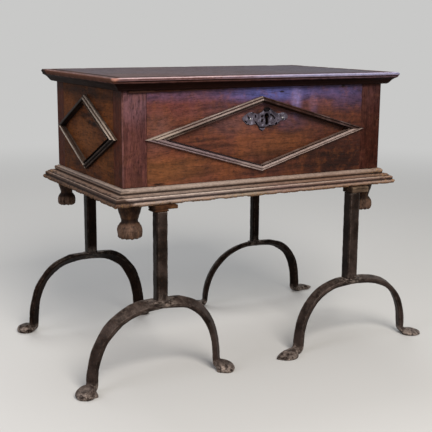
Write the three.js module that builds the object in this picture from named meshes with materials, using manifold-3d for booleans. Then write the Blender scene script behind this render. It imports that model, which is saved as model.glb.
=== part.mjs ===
import * as THREE from "three";
import { mergeVertices } from "three/addons/utils/BufferGeometryUtils.js";
import Module from "manifold-3d";

const wasm = await Module();
wasm.setup();

// Lengths are in millimetres: +Z is up, the box faces -Y and the floor is at zero height

// Box
const boxWidth = 600;
const boxDepth = 352;
const boxHeight = 181;
const panelThickness = 18;
const postWidth = 50;
const postDepth = 41;
const tongueLength = 8;
const tongueThickness = 8;
const tongueInset = 5;
const bottomThickness = 12;

// Plinth
const standHeight = 350;
const plinthThickness = 32;
const plinthReach = 29;
const plinthLedge = 51;

// Lid
const lidThickness = 25;
const lidReach = 28;
const lidBoardReach = 2;

// Lozenge mouldings
const lozengeRise = 89;
const lozengeHalfHeight = 75;
const frontLozengeHalfWidth = 256;
const endLozengeHalfWidth = 157;
const lozengeBarWidth = 12.5;
const lozengeBarHeight = 10.5;

// Turned feet
const frontLeftFoot = { height: 68, radius: 25, overhang: 2 };
const frontRightFoot = { height: 60, radius: 22.5, overhang: 0 };
const backFoot = { height: 56, radius: 19.5, overhang: 8 };
const footTenonRadius = 9;
const footTenonLength = 20;

// Iron legs: spans run from the upright to the heels of its arch, and toes from the heels to the pads' middles
const legInset = 18;
const uprightChamfer = 1.5;
const tangSide = 9;
const tangLength = 12;
const archThickness = 13;
const taperedBar = { ankleDepth: 18, crownDepth: 32 };
const evenBar = { ankleDepth: 26, crownDepth: 27 };
const archChamfer = 1.5;
const toeRadius = 10;
const padHeight = 13.5;
const padSplay = 16;
const roundPad = { halfLength: 21, halfDepth: 23 };
const longPad = { halfLength: 27, halfDepth: 22 };
const outerFootReach = 416;
const frontLeftLeg = { inset: 68, crown: 164, rightSpan: 124, leftToe: 19, rightToe: 12 };
const frontRightLeg = { inset: 80, crown: 150, leftSpan: 128, leftToe: 38, rightToe: 20 };
const backLeftLeg = { inset: 77, crown: 172.5, leftSpan: 140, rightSpan: 118, leftToe: 14, rightToe: 14 };
const backRightLeg = { inset: 84, crown: 151, leftSpan: 141.5, rightSpan: 125, leftToe: 30, rightToe: 38 };
const frontLeftUpright = { width: 24, depth: 25 };
const frontRightUpright = { width: 26, depth: 28 };
const backLeftUpright = { width: 23, depth: 26 };
const backRightUpright = { width: 21, depth: 20 };
const upperShim = { left: 19, right: 32, thickness: 7.5 };
const lowerShim = { left: 19, right: 12.5, thickness: 4 };
const rightShim = { left: 14.5, right: 32.5, thickness: 12 };
const shimProud = 0.5;

// Keyhole, escutcheon and lock
const keyholePlace = 12.5;
const keyholeDrop = 62.5;
const keyholeHeight = 22;
const keyholeHeadRadius = 4.5;
const keyholeSlotWidth = 5;
const keyholeFootWidth = 7;
const keyholeFootHeight = 4;
const escutcheonHalfWidth = 54;
const escutcheonHalfHeight = 25;
const escutcheonThickness = 1.2;
const nailShankRadius = 1;
const nailHeadRadius = 2.8;
const nailHeadHeight = 1.6;
const nailLength = 9;
const lockCaseLeft = 58;
const lockCaseRight = 52;
const lockCaseDrop = 15;
const lockCaseHeight = 76;
const lockCaseDepth = 20;
const lockCaseWall = 2;
const guideThickness = 2;
const guideRim = 4;
const boltDrop = 35;
const boltHeight = 8;
const boltDepth = 5;
const boltLength = 40;
const boltTravel = 12;
const boltRest = 1;
const boltNotchWidth = 9;
const boltNotchDepth = 3;
const stapleThickness = 5;
const stapleDepth = 10.5;
const stapleInset = 4.5;
const stapleRim = 4.5;
const stapleFootWidth = 34;
const stapleFootThickness = 2;
const stapleSwing = 3.3;
const springThickness = 1;

// Hinges
const hingePlace = 150;
const hingeWidth = 34;
const leafThickness = 2.4;
const leafLength = 74;
const strapLength = 150;
const strapTipWidth = 18;
const knuckleRadius = 5;
const hingePinRadius = 2;
const hingePinHead = 1.2;
const hingePinHeadRadius = 3;

// Clearances
const seatGap = 0.3;
const swingGap = 0.8;
const overrun = 5;

// Counts and shares
const roundSegments = 20;
const pinSegments = 12;
const padSegments = 16;
const archSteps = 12;
const toeSteps = 4;
const curveSteps = 2;

// How square each half of an arch is: 2 is an ellipse, and more is squarer
const archPowerShares = {
  frontLeft: [2.3, 2.6],
  frontRight: [2.37, 2.67],
  backLeft: [2.6, 2.5],
  backRight: [2.15, 2.8],
};

// Each section runs from the flat back of the moulding round its moulded edge, as shares of its reach and height
const plinthSectionShares = [
  [0.86, 1], [0.75, 0.96], [0.7, 0.88], [0.7, 0.78], [0.74, 0.67], [0.49, 0.67], [0.4, 0.64],
  [0.38, 0.58], [0.26, 0.54], [0.16, 0.5], [0.14, 0.44], [0.17, 0.36], [0.16, 0.3], [0.04, 0.26],
  [0, 0.17], [0.02, 0.08], [0.12, 0],
];
const lidSectionShares = [
  [0.13, 1], [0.04, 0.95], [0, 0.86], [0.02, 0.77], [0.08, 0.72], [0.08, 0.64], [0.12, 0.57],
  [0.25, 0.5], [0.39, 0.38], [0.5, 0.22], [0.58, 0.08], [0.7, 0],
];
const lozengeSectionShares = [
  [1, 0], [1, 0.34], [0.9, 0.48], [0.76, 0.48], [0.72, 0.84], [0.6, 1], [0.46, 1], [0.34, 0.86],
  [0.3, 0.56], [0.24, 0.7], [0.1, 0.72], [0, 0.58], [0, 0],
];
const turnedFootShares = [
  [0, 0], [0.8, 0], [0.95, 0.05], [1, 0.13], [1, 0.24], [0.93, 0.33], [0.78, 0.4], [0.64, 0.44],
  [0.62, 0.49], [0.68, 0.6], [0.8, 0.78], [0.9, 0.93], [0.93, 1],
];
const padShares = [[0, 0], [0.86, 0], [1, 0.2], [0.95, 0.46], [0.66, 0.82], [0, 1]];
const escutcheonShares = [
  [0.04, 0.86], [0.15, 0.8], [0.26, 0.62], [0.41, 0.44], [0.54, 0.38], [0.67, 0.44], [0.8, 0.42],
  [0.91, 0.24], [0.93, -0.02], [0.81, -0.2], [0.67, -0.18], [0.57, -0.28], [0.46, -0.5], [0.3, -0.58],
  [0.09, -0.6], [-0.04, -0.66], [-0.09, -0.84], [-0.19, -0.98], [-0.31, -0.84], [-0.36, -0.62],
  [-0.47, -0.4], [-0.63, -0.46], [-0.83, -0.42], [-0.98, -0.16], [-1.06, 0.1], [-0.94, 0.34],
  [-0.79, 0.52], [-0.6, 0.56], [-0.45, 0.42], [-0.32, 0.44], [-0.19, 0.58], [-0.09, 0.76],
];

// Each piercing: its centre and its half sizes across and up as shares, and the turn of its long side
const piercingShares = [
  { centre: [0.02, 0.7], half: [0.11, 0.09], turn: 0 },
  { centre: [-0.19, 0.22], half: [0.065, 0.075], turn: 0 },
  { centre: [-0.19, -0.1], half: [0.065, 0.08], turn: 0 },
  { centre: [0.28, 0.14], half: [0.13, 0.06], turn: -0.2 * Math.PI },
  { centre: [-0.82, 0.28], half: [0.03, 0.06], turn: 0 },
  { centre: [0.5, -0.18], half: [0.025, 0.06], turn: 0 },
];
const nailShares = [0.7, 0.02];
const springShares = [[-0.86, 0.96], [-0.66, 0.96], [-0.52, 0.6], [-0.34, 0.08], [-0.22, 0.22]];

// Heights and places that follow from the sizes above
const plinthTop = standHeight + plinthThickness;
const boxBottom = plinthTop + seatGap;
const boxTop = plinthTop + boxHeight;
const lidUnderside = boxTop + seatGap;
const legPlaceY = boxDepth / 2 + legInset;
const keyholeHeightPlace = boxTop - keyholeDrop;
const hingeAxisY = boxDepth / 2 + seatGap + knuckleRadius;
const hingeAxisZ = lidUnderside + leafThickness - knuckleRadius;
const tangSocket = tangSide + 2 * seatGap;
const turnedFeet = [
  { name: "front_left", size: frontLeftFoot, side: [-1, -1] },
  { name: "front_right", size: frontRightFoot, side: [1, -1] },
  { name: "back_right", size: backFoot, side: [1, 1] },
  { name: "back_left", size: backFoot, side: [-1, 1] },
].map(({ name, size, side }) => ({
  name,
  ...size,
  x: side[0] * (boxWidth / 2 + size.overhang - size.radius),
  y: side[1] * (boxDepth / 2 + size.overhang - size.radius),
}));

// Finishes
const finish = (color, roughness, metalness) => new THREE.MeshStandardMaterial({ color, roughness, metalness });
const panelWood = finish(0x5e3024, 0.4, 0);
const postWood = finish(0x4e2a24, 0.42, 0);
const lidWood = finish(0x6a4a40, 0.45, 0);
const lozengeWood = finish(0x6d5145, 0.5, 0);
const plinthWood = finish(0x86695c, 0.6, 0);
const footWood = finish(0x4a2a22, 0.65, 0);
const bottomWood = finish(0x6b4a35, 0.75, 0);
const shimWood = finish(0xb08a5c, 0.75, 0);
const legIron = finish(0x2e2725, 0.6, 0.7);
const lockIron = finish(0x4a4a52, 0.5, 0.8);
const brightIron = finish(0x9a979a, 0.4, 0.9);

const model = new THREE.Group();

// Solids and their joins and cuts
function toSolid(geometry) {
  const bare = geometry.clone();
  bare.deleteAttribute("normal");
  bare.deleteAttribute("uv");
  const merged = mergeVertices(bare);
  return new wasm.Manifold(new wasm.Mesh({
    numProp: 3,
    vertProperties: new Float32Array(merged.getAttribute("position").array),
    triVerts: new Uint32Array(merged.getIndex().array),
  }));
}

function toGeometry(solid) {
  const mesh = solid.getMesh();
  const geometry = new THREE.BufferGeometry();
  geometry.setAttribute("position", new THREE.BufferAttribute(mesh.vertProperties, 3));
  geometry.setIndex(new THREE.BufferAttribute(mesh.triVerts, 1));
  return geometry;
}

function cut(geometry, cutters) {
  return toGeometry(cutters.reduce((solid, cutter) => solid.subtract(toSolid(cutter)), toSolid(geometry)));
}

function join(geometries) {
  return toGeometry(geometries.map(toSolid).reduce((solid, other) => solid.add(other)));
}

function block(low, high) {
  const size = high.map((value, axis) => value - low[axis]);
  const geometry = new THREE.BoxGeometry(...size);
  geometry.translate(...low.map((value, axis) => value + size[axis] / 2));
  return geometry;
}

// A rod that rises from the origin
function rod(radius, length, segments) {
  const geometry = new THREE.CylinderGeometry(radius, radius, length, segments);
  geometry.rotateX(Math.PI / 2);
  geometry.translate(0, 0, length / 2);
  return geometry;
}

function outline(points) {
  return new THREE.Shape(points.map(([x, y]) => new THREE.Vector2(x, y)));
}

function extrude(shape, depth) {
  return new THREE.ExtrudeGeometry(shape, { depth, bevelEnabled: false, curveSegments: curveSteps });
}

function lathe(shares, radius, height, segments) {
  const points = shares.map(([out, up]) => new THREE.Vector2(out * radius, up * height));
  const geometry = new THREE.LatheGeometry(points, segments);
  geometry.rotateX(Math.PI / 2);
  return geometry;
}

function addPiece(name, geometry, material, parent = model) {
  const piece = new THREE.Mesh(geometry, material);
  piece.name = name;
  parent.add(piece);
  return piece;
}

// Mitred mouldings
const sectionToBar = new THREE.Matrix4().makeBasis(
  new THREE.Vector3(0, 1, 0),
  new THREE.Vector3(0, 0, 1),
  new THREE.Vector3(1, 0, 0),
);

// A bar along +X from the origin, with its moulded edge outside at -Y and both ends cut on the mitre
function mitredBar(section, length, startHalfAngle, endHalfAngle) {
  const geometry = extrude(outline(section), length);
  geometry.applyMatrix4(sectionToBar);
  const position = geometry.getAttribute("position");
  for (let index = 0; index < position.count; index += 1) {
    const atStart = position.getX(index) < length / 2;
    const halfAngle = atStart ? startHalfAngle : endHalfAngle;
    const setBack = position.getY(index) / Math.tan(halfAngle) + seatGap / 2 / Math.sin(halfAngle);
    position.setX(index, atStart ? setBack : length - setBack);
  }
  return geometry;
}

// One bar for each side of a convex outline whose corners run anticlockwise
function mitredFrame(corners, section) {
  const count = corners.length;
  return corners.map((corner, index) => {
    const previous = corners[(index + count - 1) % count];
    const next = corners[(index + 1) % count];
    const afterNext = corners[(index + 2) % count];
    const along = next.clone().sub(corner);
    const startHalfAngle = along.angleTo(previous.clone().sub(corner)) / 2;
    const endHalfAngle = corner.clone().sub(next).angleTo(afterNext.clone().sub(next)) / 2;
    const geometry = mitredBar(section, along.length(), startHalfAngle, endHalfAngle);
    geometry.rotateZ(Math.atan2(along.y, along.x));
    geometry.translate(corner.x, corner.y, 0);
    return geometry;
  });
}

function rectangleCorners(reach) {
  return [[-1, -1], [1, -1], [1, 1], [-1, 1]].map(
    ([sideX, sideY]) => new THREE.Vector2(sideX * (boxWidth / 2 + reach), sideY * (boxDepth / 2 + reach)),
  );
}

const sideNames = ["front", "right", "back", "left"];

// Carcase
function cornerPost(sideX, sideY) {
  const grooveDepth = tongueLength + seatGap;
  const grooveStart = tongueInset - seatGap;
  const grooveEnd = tongueInset + tongueThickness + seatGap;
  const plan = [
    [0, 0], [postWidth, 0], [postWidth, grooveStart], [postWidth - grooveDepth, grooveStart],
    [postWidth - grooveDepth, grooveEnd], [postWidth, grooveEnd], [postWidth, postDepth],
    [grooveEnd, postDepth], [grooveEnd, postDepth - grooveDepth], [grooveStart, postDepth - grooveDepth],
    [grooveStart, postDepth], [0, postDepth],
  ];
  const placed = plan.map(([x, y]) => [sideX * (boxWidth / 2 - x), sideY * (boxDepth / 2 - y)]);
  const geometry = extrude(outline(placed), boxTop - boxBottom);
  geometry.translate(0, 0, boxBottom);
  return geometry;
}

// A panel along X that faces -Y, with a tongue on each end, its outer face on the plane y = 0
function tonguedPanel(length) {
  const half = length / 2 - seatGap;
  const tongueEnd = half + tongueLength;
  const tongueBack = tongueInset + tongueThickness;
  const rightHalf = [
    [half, 0], [half, tongueInset], [tongueEnd, tongueInset], [tongueEnd, tongueBack],
    [half, tongueBack], [half, panelThickness],
  ];
  const leftHalf = rightHalf.map(([x, y]) => [-x, y]).reverse();
  const geometry = extrude(outline([...rightHalf, ...leftHalf]), boxTop - boxBottom);
  geometry.translate(0, 0, boxBottom);
  return geometry;
}

function bottomBoard(side) {
  const halfWidth = boxWidth / 2 - panelThickness - seatGap;
  const halfDepth = boxDepth / 2 - panelThickness - seatGap;
  const notchX = boxWidth / 2 - postWidth - seatGap;
  const notchY = boxDepth / 2 - postDepth - seatGap;
  const rightHalf = [[halfWidth, seatGap], [halfWidth, notchY], [notchX, notchY], [notchX, halfDepth]];
  const leftHalf = rightHalf.map(([x, y]) => [-x, y]).reverse();
  const plan = [...rightHalf, ...leftHalf].map(([x, y]) => [x, side * y]);
  const geometry = extrude(outline(plan), bottomThickness);
  geometry.translate(0, 0, boxBottom);
  return geometry;
}

function addCarcase() {
  const posts = [["front_left", -1, -1], ["front_right", 1, -1], ["back_right", 1, 1], ["back_left", -1, 1]];
  posts.forEach(([name, sideX, sideY]) => {
    addPiece(`${name}_corner_post`, cornerPost(sideX, sideY), postWood);
  });
  const lengthOf = { front: boxWidth, back: boxWidth, left: boxDepth, right: boxDepth };
  const acrossOf = { front: boxDepth, back: boxDepth, left: boxWidth, right: boxWidth };
  const postOf = { front: postWidth, back: postWidth, left: postDepth, right: postDepth };
  sideNames.forEach((side, index) => {
    let geometry = tonguedPanel(lengthOf[side] - 2 * postOf[side]);
    geometry.translate(0, -acrossOf[side] / 2, 0);
    if (side === "front") geometry = cut(geometry, frontPanelHoles());
    const panel = addPiece(`${side}_panel`, geometry, panelWood);
    panel.rotation.z = (index * Math.PI) / 2;
  });
  addPiece("front_bottom_board", bottomBoard(-1), bottomWood);
  addPiece("back_bottom_board", bottomBoard(1), bottomWood);
}

// Plinth
function plinthHoles() {
  const sockets = turnedFeet.map(({ x, y }) => {
    const socket = rod(footTenonRadius + seatGap, footTenonLength + seatGap + overrun, roundSegments);
    socket.translate(x, y, standHeight - overrun);
    return socket;
  });
  const half = tangSocket / 2;
  const tangs = legs.map(({ x, y }) => block(
    [x - half, y - half, standHeight - overrun],
    [x + half, y + half, standHeight + tangLength + seatGap],
  ));
  return [...sockets, ...tangs];
}

function addPlinth() {
  const moulded = plinthSectionShares.map(([inward, up]) => [inward * plinthReach, up * plinthThickness]);
  const back = plinthReach + plinthLedge;
  const section = [[back, 0], [back, plinthThickness], ...moulded];
  mitredFrame(rectangleCorners(plinthReach), section).forEach((bar, index) => {
    const geometry = bar.translate(0, 0, standHeight);
    addPiece(`${sideNames[index]}_plinth`, cut(geometry, plinthHoles()), plinthWood);
  });
}

// Lid
function hingeNotch(place) {
  const half = hingeWidth / 2 + hingePinHead + 2 * swingGap;
  const reach = knuckleRadius + swingGap;
  return block(
    [place - half, hingeAxisY - reach, lidUnderside - overrun],
    [place + half, hingeAxisY + reach, hingeAxisZ + reach],
  );
}

function strapRecess(place) {
  const half = hingeWidth / 2 + seatGap;
  return block(
    [place - half, hingeAxisY - strapLength - seatGap, lidUnderside - overrun],
    [place + half, hingeAxisY, lidUnderside + leafThickness + seatGap],
  );
}

function addLid() {
  const places = [-hingePlace, hingePlace];
  const halfWidth = boxWidth / 2 + lidBoardReach - seatGap;
  const halfDepth = boxDepth / 2 + lidBoardReach - seatGap;
  const board = block(
    [-halfWidth, -halfDepth, lidUnderside],
    [halfWidth, halfDepth, lidUnderside + lidThickness],
  );
  const recesses = [...places.map(hingeNotch), ...places.map(strapRecess)];
  addPiece("lid_board", cut(board, recesses), lidWood);
  const back = lidReach - lidBoardReach;
  const moulded = lidSectionShares.map(([inward, up]) => [inward * lidReach, up * lidThickness]);
  const section = [[back, 0], [back, lidThickness], ...moulded];
  mitredFrame(rectangleCorners(lidReach), section).forEach((bar, index) => {
    const side = sideNames[index];
    const placed = bar.translate(0, 0, lidUnderside);
    const geometry = side === "back" ? cut(placed, places.map(hingeNotch)) : placed;
    addPiece(`${side}_lid_moulding`, geometry, lidWood);
  });
}

// Lozenges
function addLozenge(side, turn, faceDistance, halfWidth) {
  const corners = [[0, -lozengeHalfHeight], [halfWidth, 0], [0, lozengeHalfHeight], [-halfWidth, 0]];
  const section = lozengeSectionShares.map(([inward, up]) => [inward * lozengeBarWidth, up * lozengeBarHeight]);
  const turned = new THREE.Group();
  turned.rotation.z = turn;
  const face = new THREE.Group();
  face.position.set(0, -faceDistance - seatGap, plinthTop + lozengeRise);
  face.rotation.x = Math.PI / 2;
  turned.add(face);
  model.add(turned);
  const names = ["lower_right", "upper_right", "upper_left", "lower_left"];
  const bars = mitredFrame(corners.map(([x, y]) => new THREE.Vector2(x, y)), section);
  bars.forEach((bar, index) => addPiece(`${side}_lozenge_${names[index]}`, bar, lozengeWood, face));
}

function addLozenges() {
  addLozenge("front", 0, boxDepth / 2, frontLozengeHalfWidth);
  addLozenge("right", Math.PI / 2, boxWidth / 2, endLozengeHalfWidth);
  addLozenge("left", -Math.PI / 2, boxWidth / 2, endLozengeHalfWidth);
}

// Turned feet
function addTurnedFeet() {
  turnedFeet.forEach(({ name, height, radius, x, y }) => {
    const bodyHeight = height - seatGap;
    const tenonRadiusShare = footTenonRadius / radius;
    const tenonTopShare = (bodyHeight + footTenonLength) / bodyHeight;
    const tenonShares = [[tenonRadiusShare, 1], [tenonRadiusShare, tenonTopShare], [0, tenonTopShare]];
    const foot = lathe([...turnedFootShares, ...tenonShares], radius, bodyHeight, roundSegments);
    const piece = addPiece(`${name}_turned_foot`, foot, footWood);
    piece.position.set(x, y, standHeight - height);
  });
}

// Iron legs
const outerSpan = outerFootReach - boxWidth / 2;
const frontLeftSpan = outerSpan + frontLeftLeg.inset - frontLeftLeg.leftToe - roundPad.halfLength;
const frontRightSpan = outerSpan + frontRightLeg.inset - frontRightLeg.rightToe - longPad.halfLength;
const frontLeftShims = [["front_left_upper_shim", upperShim], ["front_left_lower_shim", lowerShim]];
const frontRightShims = [["front_right_shim", rightShim]];
const legs = [
  {
    name: "front_left",
    size: { ...frontLeftLeg, leftSpan: frontLeftSpan },
    end: -1,
    side: -1,
    bar: taperedBar,
    stem: frontLeftUpright,
    pad: roundPad,
    powers: archPowerShares.frontLeft,
    shims: frontLeftShims,
  },
  {
    name: "front_right",
    size: { ...frontRightLeg, rightSpan: frontRightSpan },
    end: 1,
    side: -1,
    bar: evenBar,
    stem: frontRightUpright,
    pad: longPad,
    powers: archPowerShares.frontRight,
    shims: frontRightShims,
  },
  {
    name: "back_left",
    size: backLeftLeg,
    end: -1,
    side: 1,
    bar: taperedBar,
    stem: backLeftUpright,
    pad: roundPad,
    powers: archPowerShares.backLeft,
    shims: [],
  },
  {
    name: "back_right",
    size: backRightLeg,
    end: 1,
    side: 1,
    bar: evenBar,
    stem: backRightUpright,
    pad: longPad,
    powers: archPowerShares.backRight,
    shims: [],
  },
].map(({ name, size, end, side, bar, stem, pad, powers, shims }) => ({
  name,
  side,
  bar,
  stem,
  pad,
  shims,
  x: end * (boxWidth / 2 - size.inset),
  y: side * legPlaceY,
  crown: size.crown,
  left: { span: size.leftSpan, toe: size.leftToe, power: powers[0] },
  right: { span: size.rightSpan, toe: size.rightToe, power: powers[1] },
}));

// Half of the arch's centre line, from the end of the toe over the heel and up towards the crown
function archHalf({ span, toe, power }, crown) {
  const base = archThickness / 2;
  const rise = crown - 2 * base;
  const points = [[span + toe, base]];
  for (let step = 0; step < toeSteps; step += 1) {
    const angle = (step / toeSteps) * (Math.PI / 2);
    points.push([span + toeRadius * (1 - Math.sin(angle)), base + toeRadius * (1 - Math.cos(angle))]);
  }
  const heelAngle = Math.asin((toeRadius / rise) ** (power / 2));
  for (let step = 0; step < archSteps; step += 1) {
    const angle = THREE.MathUtils.lerp(heelAngle, Math.PI / 2, step / archSteps);
    points.push([span * Math.cos(angle) ** (2 / power), base + rise * Math.sin(angle) ** (2 / power)]);
  }
  return points;
}

function archCentreLine({ left, right, crown }) {
  const leftHalf = archHalf(left, crown).map(([x, z]) => [-x, z]);
  const top = [0, crown - archThickness / 2];
  const rightHalf = archHalf(right, crown).reverse();
  return [...leftHalf, top, ...rightHalf].map(([x, z]) => new THREE.Vector2(x, z));
}

// The bar's outline: its centre line set off by half its thickness on both sides
function archOutline(line) {
  const last = line.length - 1;
  const offsets = line.map((point, index) => {
    const along = line[Math.min(index + 1, last)].clone().sub(line[Math.max(index - 1, 0)]).normalize();
    return new THREE.Vector2(-along.y, along.x).multiplyScalar(archThickness / 2);
  });
  const outer = line.map((point, index) => point.clone().add(offsets[index]));
  const inner = line.map((point, index) => point.clone().sub(offsets[index])).reverse();
  return new THREE.Shape([...outer, ...inner]);
}

// The bar is as deep as its ankles up to half the height of the crown, and widens from there
function archBar(leg) {
  const { ankleDepth, crownDepth } = leg.bar;
  const geometry = new THREE.ExtrudeGeometry(archOutline(archCentreLine(leg)), {
    depth: crownDepth - 2 * archChamfer,
    bevelThickness: archChamfer,
    bevelSize: archChamfer,
    bevelOffset: -archChamfer,
    bevelSegments: 1,
  });
  geometry.rotateX(Math.PI / 2);
  geometry.translate(0, crownDepth / 2 - archChamfer, 0);
  const point = geometry.attributes.position;
  for (let index = 0; index < point.count; index += 1) {
    const rise = THREE.MathUtils.clamp((2 * point.getZ(index)) / leg.crown - 1, 0, 1);
    point.setY(index, (point.getY(index) * THREE.MathUtils.lerp(ankleDepth, crownDepth, rise)) / crownDepth);
  }
  return geometry;
}

function footPad(x, { side, pad }) {
  const geometry = lathe(padShares, pad.halfLength, padHeight, padSegments);
  geometry.scale(1, pad.halfDepth / pad.halfLength, 1);
  geometry.translate(x, side * padSplay, 0);
  return geometry;
}

function addArch(leg) {
  const leftPad = footPad(-leg.left.span - leg.left.toe, leg);
  const rightPad = footPad(leg.right.span + leg.right.toe, leg);
  const half = tangSocket / 2;
  const mortise = block(
    [-half, -half, leg.crown - archThickness - overrun],
    [half, half, leg.crown + overrun],
  );
  const solid = join([archBar(leg), leftPad, rightPad]);
  const arch = addPiece(`${leg.name}_leg_arch`, cut(solid, [mortise]), legIron);
  arch.position.set(leg.x, leg.y, 0);
}

function addUpright(leg) {
  const packing = leg.shims.reduce((sum, [, shim]) => sum + shim.thickness + seatGap, 0);
  const bottom = leg.crown + seatGap;
  const top = standHeight - packing - seatGap;
  const halfWidth = leg.stem.width / 2;
  const halfDepth = leg.stem.depth / 2;
  const corner = uprightChamfer;
  const quarter = [[halfWidth, halfDepth - corner], [halfWidth - corner, halfDepth]];
  const section = [
    ...quarter,
    ...quarter.map(([x, y]) => [-x, y]).reverse(),
    ...quarter.map(([x, y]) => [-x, -y]),
    ...quarter.map(([x, y]) => [x, -y]).reverse(),
  ];
  const bar = extrude(outline(section), top - bottom);
  bar.translate(0, 0, bottom);
  const half = tangSide / 2;
  const tang = block([-half, -half, top - overrun], [half, half, standHeight + tangLength]);
  const tenon = block([-half, -half, leg.crown - archThickness + seatGap], [half, half, bottom + overrun]);
  const upright = addPiece(`${leg.name}_leg_upright`, join([bar, tang, tenon]), legIron);
  upright.position.set(leg.x, leg.y, 0);
}

function addShims(leg) {
  let top = standHeight - seatGap;
  const half = tangSocket / 2;
  const reach = leg.stem.depth / 2 + shimProud;
  leg.shims.forEach(([name, shim]) => {
    const slip = block([-shim.left, -reach, top - shim.thickness], [shim.right, reach, top]);
    const hole = block([-half, -half, top - shim.thickness - overrun], [half, half, top + overrun]);
    const piece = addPiece(name, cut(slip, [hole]), shimWood);
    piece.position.set(leg.x, leg.y, 0);
    top -= shim.thickness + seatGap;
  });
}

function addLegs() {
  legs.forEach((leg) => {
    addArch(leg);
    addUpright(leg);
    addShims(leg);
  });
}

// Keyhole and escutcheon, drawn on the face of the front panel about the keyhole's centre
function keyholePath() {
  const half = keyholeSlotWidth / 2;
  const meet = Math.asin(half / keyholeHeadRadius);
  const low = -keyholeHeight / 2;
  const path = new THREE.Shape();
  path.moveTo(-keyholeFootWidth / 2, low);
  path.lineTo(keyholeFootWidth / 2, low);
  path.lineTo(half, low + keyholeFootHeight);
  path.absarc(0, -low - keyholeHeadRadius, keyholeHeadRadius, meet - Math.PI / 2, (3 * Math.PI) / 2 - meet, false);
  path.lineTo(-half, low + keyholeFootHeight);
  path.closePath();
  return path;
}

function ovalHole({ centre, half, turn }) {
  const path = new THREE.Path();
  path.absellipse(
    centre[0] * escutcheonHalfWidth, centre[1] * escutcheonHalfHeight,
    half[0] * escutcheonHalfWidth, half[1] * escutcheonHalfHeight, 0, 2 * Math.PI, false, turn,
  );
  return path;
}

function nailPlaces() {
  const [across, up] = nailShares;
  return [-1, 1].map((side) => ({ x: side * across * escutcheonHalfWidth, y: up * escutcheonHalfHeight }));
}

// A group whose XY plane is the outer face of the front panel, with +Z out of the box
function frontFaceGroup() {
  const face = new THREE.Group();
  face.position.set(keyholePlace, -boxDepth / 2, keyholeHeightPlace);
  face.rotation.x = Math.PI / 2;
  model.add(face);
  return face;
}

function frontPanelHoles() {
  const keyhole = new THREE.ExtrudeGeometry(keyholePath(), {
    depth: panelThickness + 2 * overrun,
    bevelEnabled: false,
    curveSegments: pinSegments,
  });
  keyhole.translate(0, 0, -panelThickness - overrun);
  const nailHoles = nailPlaces().map(({ x, y }) => {
    const hole = rod(nailShankRadius + seatGap, nailLength + overrun, pinSegments);
    return hole.translate(x, y, -nailLength);
  });
  return [keyhole, ...nailHoles].map((cutter) => {
    cutter.rotateX(Math.PI / 2);
    return cutter.translate(keyholePlace, -boxDepth / 2, keyholeHeightPlace);
  });
}

function escutcheonOutline() {
  const points = [...escutcheonShares, escutcheonShares[0]].map(
    ([across, up]) => new THREE.Vector2(across * escutcheonHalfWidth, up * escutcheonHalfHeight),
  );
  const shape = new THREE.Shape();
  shape.moveTo(points[0].x, points[0].y);
  shape.splineThru(points.slice(1));
  return shape;
}

function addEscutcheon() {
  const face = frontFaceGroup();
  const shape = escutcheonOutline();
  shape.holes.push(...piercingShares.map(ovalHole));
  const plate = new THREE.ExtrudeGeometry(shape, {
    depth: escutcheonThickness,
    bevelEnabled: false,
    curveSegments: curveSteps,
  });
  const keyhole = new THREE.ExtrudeGeometry(keyholePath(), {
    depth: escutcheonThickness + 2 * overrun,
    bevelEnabled: false,
    curveSegments: pinSegments,
  });
  keyhole.translate(0, 0, -overrun);
  const nailHoles = nailPlaces().map(({ x, y }) => {
    const hole = rod(nailShankRadius + seatGap, escutcheonThickness + 2 * overrun, pinSegments);
    return hole.translate(x, y, -overrun);
  });
  const escutcheon = addPiece("escutcheon", cut(plate, [keyhole, ...nailHoles]), lockIron, face);
  escutcheon.position.z = seatGap;
  const headSeat = escutcheonThickness + 2 * seatGap;
  const shankShare = nailShankRadius / nailHeadRadius;
  const tipShare = (seatGap - nailLength - headSeat) / nailHeadHeight;
  const nailProfileShares = [
    [0, tipShare], [shankShare, tipShare], [shankShare, 0], [1, 0], [0.8, 0.6], [0.4, 0.93], [0, 1],
  ];
  nailPlaces().forEach(({ x, y }, index) => {
    const nail = lathe(nailProfileShares, nailHeadRadius, nailHeadHeight, pinSegments);
    const piece = addPiece(`escutcheon_nail_${["left", "right"][index]}`, nail, brightIron, face);
    piece.position.set(x, y, headSeat);
  });
}

// Lock: the bolt slides along X behind the front panel and enters the eye of the lid's staple
const panelBack = -boxDepth / 2 + panelThickness;
const boltMiddleY = panelBack + stapleInset + stapleDepth / 2;
const boltMiddleZ = boxTop - boltDrop;
const boltNose = keyholePlace - stapleThickness / 2 - boltRest;

function guideBlock(x) {
  const halfHeight = boltHeight / 2 + seatGap + guideRim;
  return block(
    [x, panelBack + 2 * seatGap, boltMiddleZ - halfHeight],
    [x + guideThickness, panelBack + lockCaseDepth - lockCaseWall / 2, boltMiddleZ + halfHeight],
  );
}

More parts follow.
